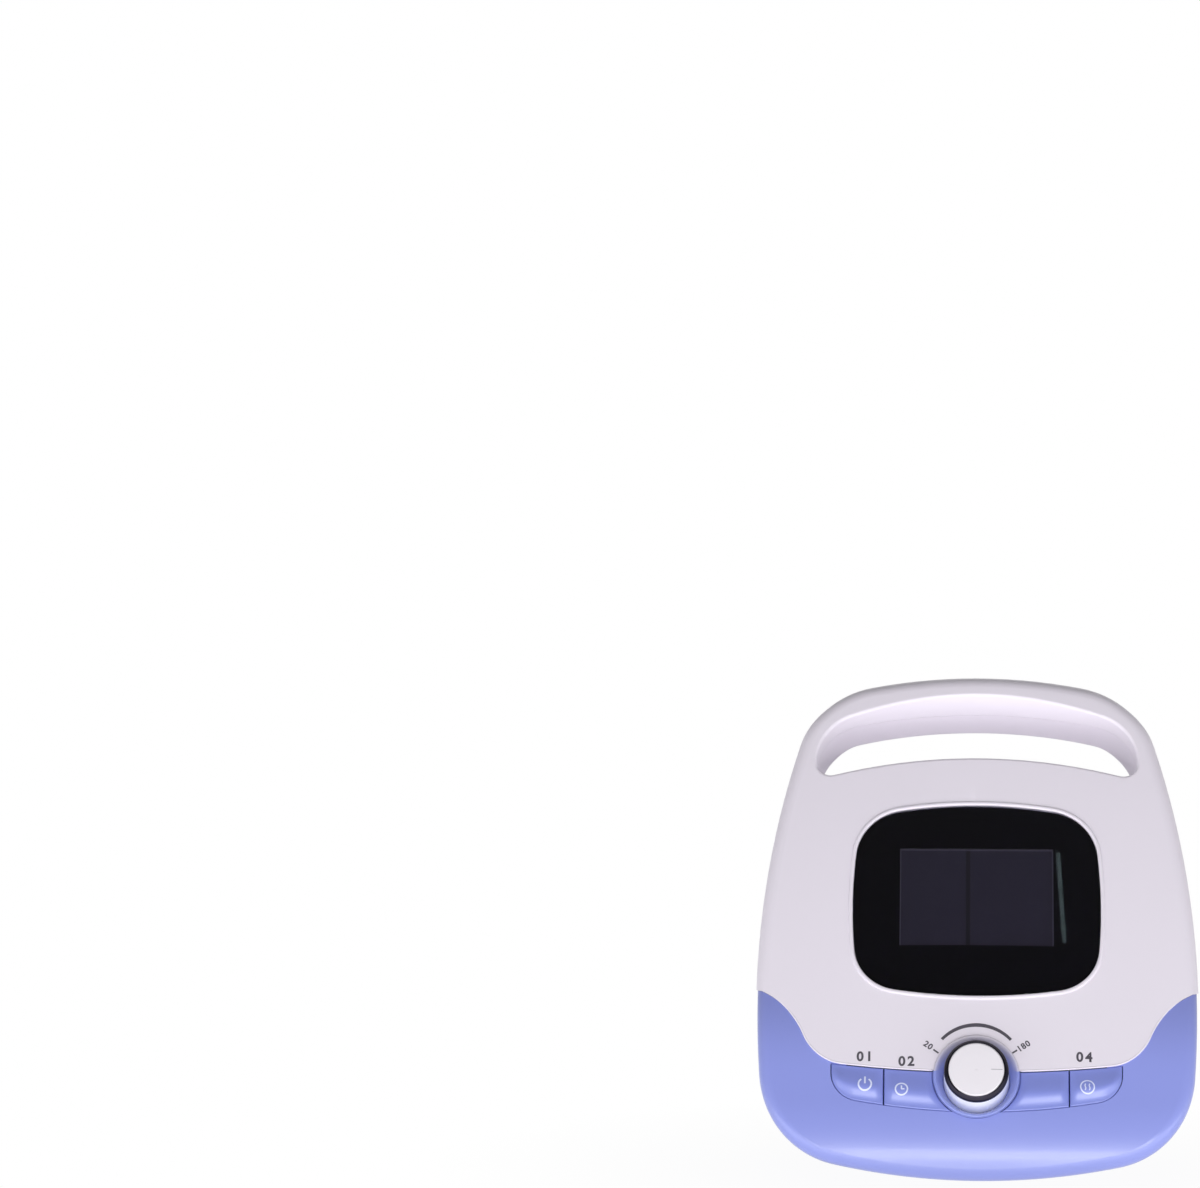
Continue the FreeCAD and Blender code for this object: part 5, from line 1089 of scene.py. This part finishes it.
class CONSOLE_OT_dress_inside(bpy.types.Operator):
    """Finishes the pump, the valves, the tubes and the boards inside the case."""

    bl_idname = "console.dress_inside"
    bl_label = "Dress the inside"

    def execute(self, context):
        board = moulded("board_green", colour(30, 96, 58), roughness=0.4, cloud=0.2)
        steel = metal("inner_steel", colour(165, 166, 170), roughness=0.35)
        cast = metal("cast_aluminium", colour(188, 190, 194), roughness=0.45, bump=0.00006)
        black = moulded("inner_black", colour(34, 34, 37), roughness=0.5)
        rubber = moulded("inner_rubber", colour(40, 40, 43), roughness=0.8)
        silicone = moulded("silicone", colour(214, 218, 222), roughness=0.3, coat=0.3)
        grey = moulded("inner_grey", colour(176, 178, 182), roughness=0.45)
        copper = metal("winding", colour(196, 112, 62), roughness=0.35, scale=(40, 3000, 3000), bump=0.00008)
        finishes = {
            board: ("display_board", "key_board", "power_board", "main_board"),
            steel: ("board_screws", "head_screws", "pump_cores", "pump_armature", "valve_coils"),
            cast: ("pump_frame",),
            black: ("pump_head_left", "pump_head_right", "buzzer", "key_switches", "power_parts"),
            rubber: ("pump_diaphragms", "pump_mounts"),
            silicone: ("pump_tubes", "outlet_tubes"),
            grey: ("valve_block", "ribbon_cables"),
            copper: ("pump_coils",),
        }
        for material, nodes in finishes.items():
            for node in nodes:
                finish(node, material)
        for node in frame["nodes"]:
            if node.endswith("valve_plunger"):
                finish(node, steel)
        make_springs(steel)
        return {"FINISHED"}


# ---- studio ----

def view_ray(elevation):
    """Direction of the camera's ray to the object: level and straight back, dipped by the elevation."""
    return np.array([0.0, math.cos(elevation), -math.sin(elevation)])


def set_camera(scene, studio):
    """Camera square in front of the object, then turned so that it sits at the frame's lower right.

    With k the size of one pixel at unit distance, pitch = atan(down k) - angle of the ray, and
    sin(yaw) cos(elevation) = K / sqrt(1 + K^2) with K = right k cos(atan(down k)).
    """
    frame_width, frame_height, sensor = 1200.0, 1188.0, 36.0
    object_x, object_y = 976.5, 931.0
    metres_per_pixel = 0.000536
    target = np.array([0.0, -0.038, 0.13075])
    k = sensor / (frame_width * studio.lens)
    right, down = object_x - frame_width / 2, object_y - frame_height / 2
    beta = math.atan(down * k)
    big = right * k * math.cos(beta)
    yaw = math.asin(big / math.sqrt(1 + big**2) / math.cos(studio.elevation))
    omega = math.atan2(math.sin(studio.elevation), math.cos(studio.elevation) * math.cos(yaw))
    pitch = beta - omega
    depth = metres_per_pixel / k
    ray = view_ray(studio.elevation)
    level = math.cos(pitch)
    forward = np.array([-math.sin(yaw) * level, math.cos(yaw) * level, math.sin(pitch)])
    place = target - ray * depth / float(ray @ forward)
    camera = bpy.data.cameras.new("studio_camera")
    camera.lens = studio.lens
    camera.sensor_width = sensor
    camera.clip_end = 50.0
    holder = bpy.data.objects.new("studio_camera", camera)
    holder.location = place
    holder.rotation_euler = (math.pi / 2 + pitch, 0.0, yaw)
    scene.collection.objects.link(holder)
    scene.camera = holder


def set_floor(studio):
    """Pale floor that keeps the object's shadow close by and fades to the plain background.

    Rays of sight, gloss and glass meet a share of plain glow: 0.95 close by, and 1 where FLOOR_FADE ends.
    Diffuse rays get what the floor throws back: floor_light in front and 0.4 of it behind, times 0.45
    close by. Glossy rays also meet a pool of light in front, the bright line on the tub's lower lip.
    """
    bpy.ops.mesh.primitive_plane_add(size=40.0, location=(0, 0, -0.0002))
    floor = bpy.context.object
    floor.name = "studio_floor"
    made, shader = bare("floor_white")
    feed(shader, {"Base Color": (0.86, 0.86, 0.87, 1), "Roughness": 0.8})
    tree = made.node_tree
    step, fade = partial(maths, tree), partial(span, tree)
    rays = add(tree, "LightPath", {}).outputs
    place, parts = axes(tree)
    distance, along = norm(tree, place), parts["Y"]
    diffuse, glossy = rays["Is Diffuse Ray"], rays["Is Glossy Ray"]
    seen = step("MAXIMUM", step("MAXIMUM", rays["Is Camera Ray"], glossy), rays["Is Transmission Ray"])
    share = step("MULTIPLY", seen, fade(distance, *FLOOR_FADE, 0.95, 1.0))
    back = step("MULTIPLY", fade(along, -0.1, 0.1, studio.floor_light, studio.floor_light * 0.4),
                fade(distance, *FLOOR_FADE, 0.45, 1.0))
    strength = step("MULTIPLY_ADD", diffuse, step("SUBTRACT", back, 1.0), 1.0)
    pool = step("MULTIPLY", fade(along, -0.120, -0.085, studio.floor_pool, 0.0),
                fade(along, -0.9, -0.5, 0.0, 1.0))
    glow = add(tree, "Emission", {"Strength": step("MULTIPLY_ADD", glossy, pool, strength)})
    share = step("ADD", share, diffuse)
    lit = add(tree, "MixShader", {0: share, 1: shader.outputs[0], 2: glow.outputs[0]})
    feed(tree.nodes["Material Output"], {"Surface": lit.outputs[0]})
    floor.data.materials.append(made)


def set_world(scene, studio):
    """White where the camera sees it. Its light is weaker overhead, and weaker in front than behind."""
    world = bpy.data.worlds.new("studio_world")
    world.use_nodes = True
    scene.world = world
    tree = world.node_tree
    _, parts = axes(tree, "Generated")
    height = span(tree, parts["Z"], 0.15, 0.75, 1.0, 0.75)
    behind = span(tree, parts["Y"], -0.7, 0.7, studio.world_light * 0.5, studio.world_light * 2.4)
    rays = add(tree, "LightPath", {}).outputs
    level = mixed(tree, rays["Is Camera Ray"], maths(tree, "MULTIPLY", height, behind), 1.0, "FLOAT")
    feed(tree.nodes["Background"], {"Color": (1, 1, 1, 1), "Strength": level})


def lamp(name, power, size, place, target, shade=(1, 1, 1)):
    """Soft rectangular lamp that faces a target."""
    data = bpy.data.lights.new(name, "AREA")
    data.shape = "RECTANGLE"
    data.size, data.size_y = size
    data.energy = power
    data.color = shade
    holder = bpy.data.objects.new(name, data)
    holder.location = place
    holder.rotation_euler = (Vector(target) - Vector(place)).to_track_quat("-Z", "Y").to_euler()
    bpy.context.scene.collection.objects.link(holder)


def set_lamps(studio):
    """One wide low lamp, weak ones on the left and behind, and a thin strip that the window mirrors.

    The strip stands where the front's normal at the streak turns the camera's ray: r - 2 (r . n) n.
    """
    power = studio.front_light
    lamp("front_lamp", power, (0.9, 0.12), (0.06, -0.95, 0.062), AIM)
    lamp("left_lamp", power * 0.14, (0.8, 1.2), (-1.6, -1.2, 0.6), AIM)
    lamp("rear_lamp", power * 0.6, (1.6, 1.0), (0.5, 1.7, 0.9), AIM)
    start = np.array([STREAK_X, front_y(STREAK_X, STREAK_Z), STREAK_Z]) + SHIFT
    normal = outward(np.array(STREAK_X), np.array(STREAK_Z))
    ray = view_ray(studio.elevation)
    place = start + (ray - 2 * float(ray @ normal) * normal) * STRIP_DISTANCE
    lamp("window_strip", 0.008, (0.010, 0.13), place, start, (0.72, 1.0, 1.0))


class CONSOLE_OT_set_studio(bpy.types.Operator):
    """Sets the camera, the floor, the world and the lamps."""

    bl_idname = "console.set_studio"
    bl_label = "Set the studio"

    def execute(self, context):
        studio = context.scene.console_studio
        set_camera(context.scene, studio)
        set_floor(studio)
        set_world(context.scene, studio)
        set_lamps(studio)
        context.scene.view_settings.view_transform = "Standard"
        return {"FINISHED"}


# ---- panel and registration ----

class CONSOLE_PT_looks(bpy.types.Panel):
    """Lists the steps that dress the console."""

    bl_idname = "CONSOLE_PT_looks"
    bl_label = "Console looks"
    bl_space_type = "VIEW_3D"
    bl_region_type = "UI"
    bl_category = "Console"

    def draw(self, context):
        for step in STEPS:
            self.layout.operator(step.bl_idname)


GROUPS = {"console_colours": ConsoleColours, "console_sizes": ConsoleSizes, "console_studio": ConsoleStudio}
STEPS = (
    CONSOLE_OT_dress_case,
    CONSOLE_OT_make_keys,
    CONSOLE_OT_dress_knob,
    CONSOLE_OT_make_window,
    CONSOLE_OT_print_front,
    CONSOLE_OT_dress_rear,
    CONSOLE_OT_dress_inside,
    CONSOLE_OT_set_studio,
)


def register():
    for made in (*GROUPS.values(), *STEPS, CONSOLE_PT_looks):
        bpy.utils.register_class(made)
    for name, group in GROUPS.items():
        setattr(bpy.types.Scene, name, bpy.props.PointerProperty(type=group))


def unregister():
    for name in GROUPS:
        delattr(bpy.types.Scene, name)
    for made in (CONSOLE_PT_looks, *reversed(STEPS), *reversed(list(GROUPS.values()))):
        bpy.utils.unregister_class(made)


def main():
    register()
    for step in STEPS:
        prefix, action = step.bl_idname.split(".")
        getattr(getattr(bpy.ops, prefix), action)()


if __name__ == "__main__":
    main()
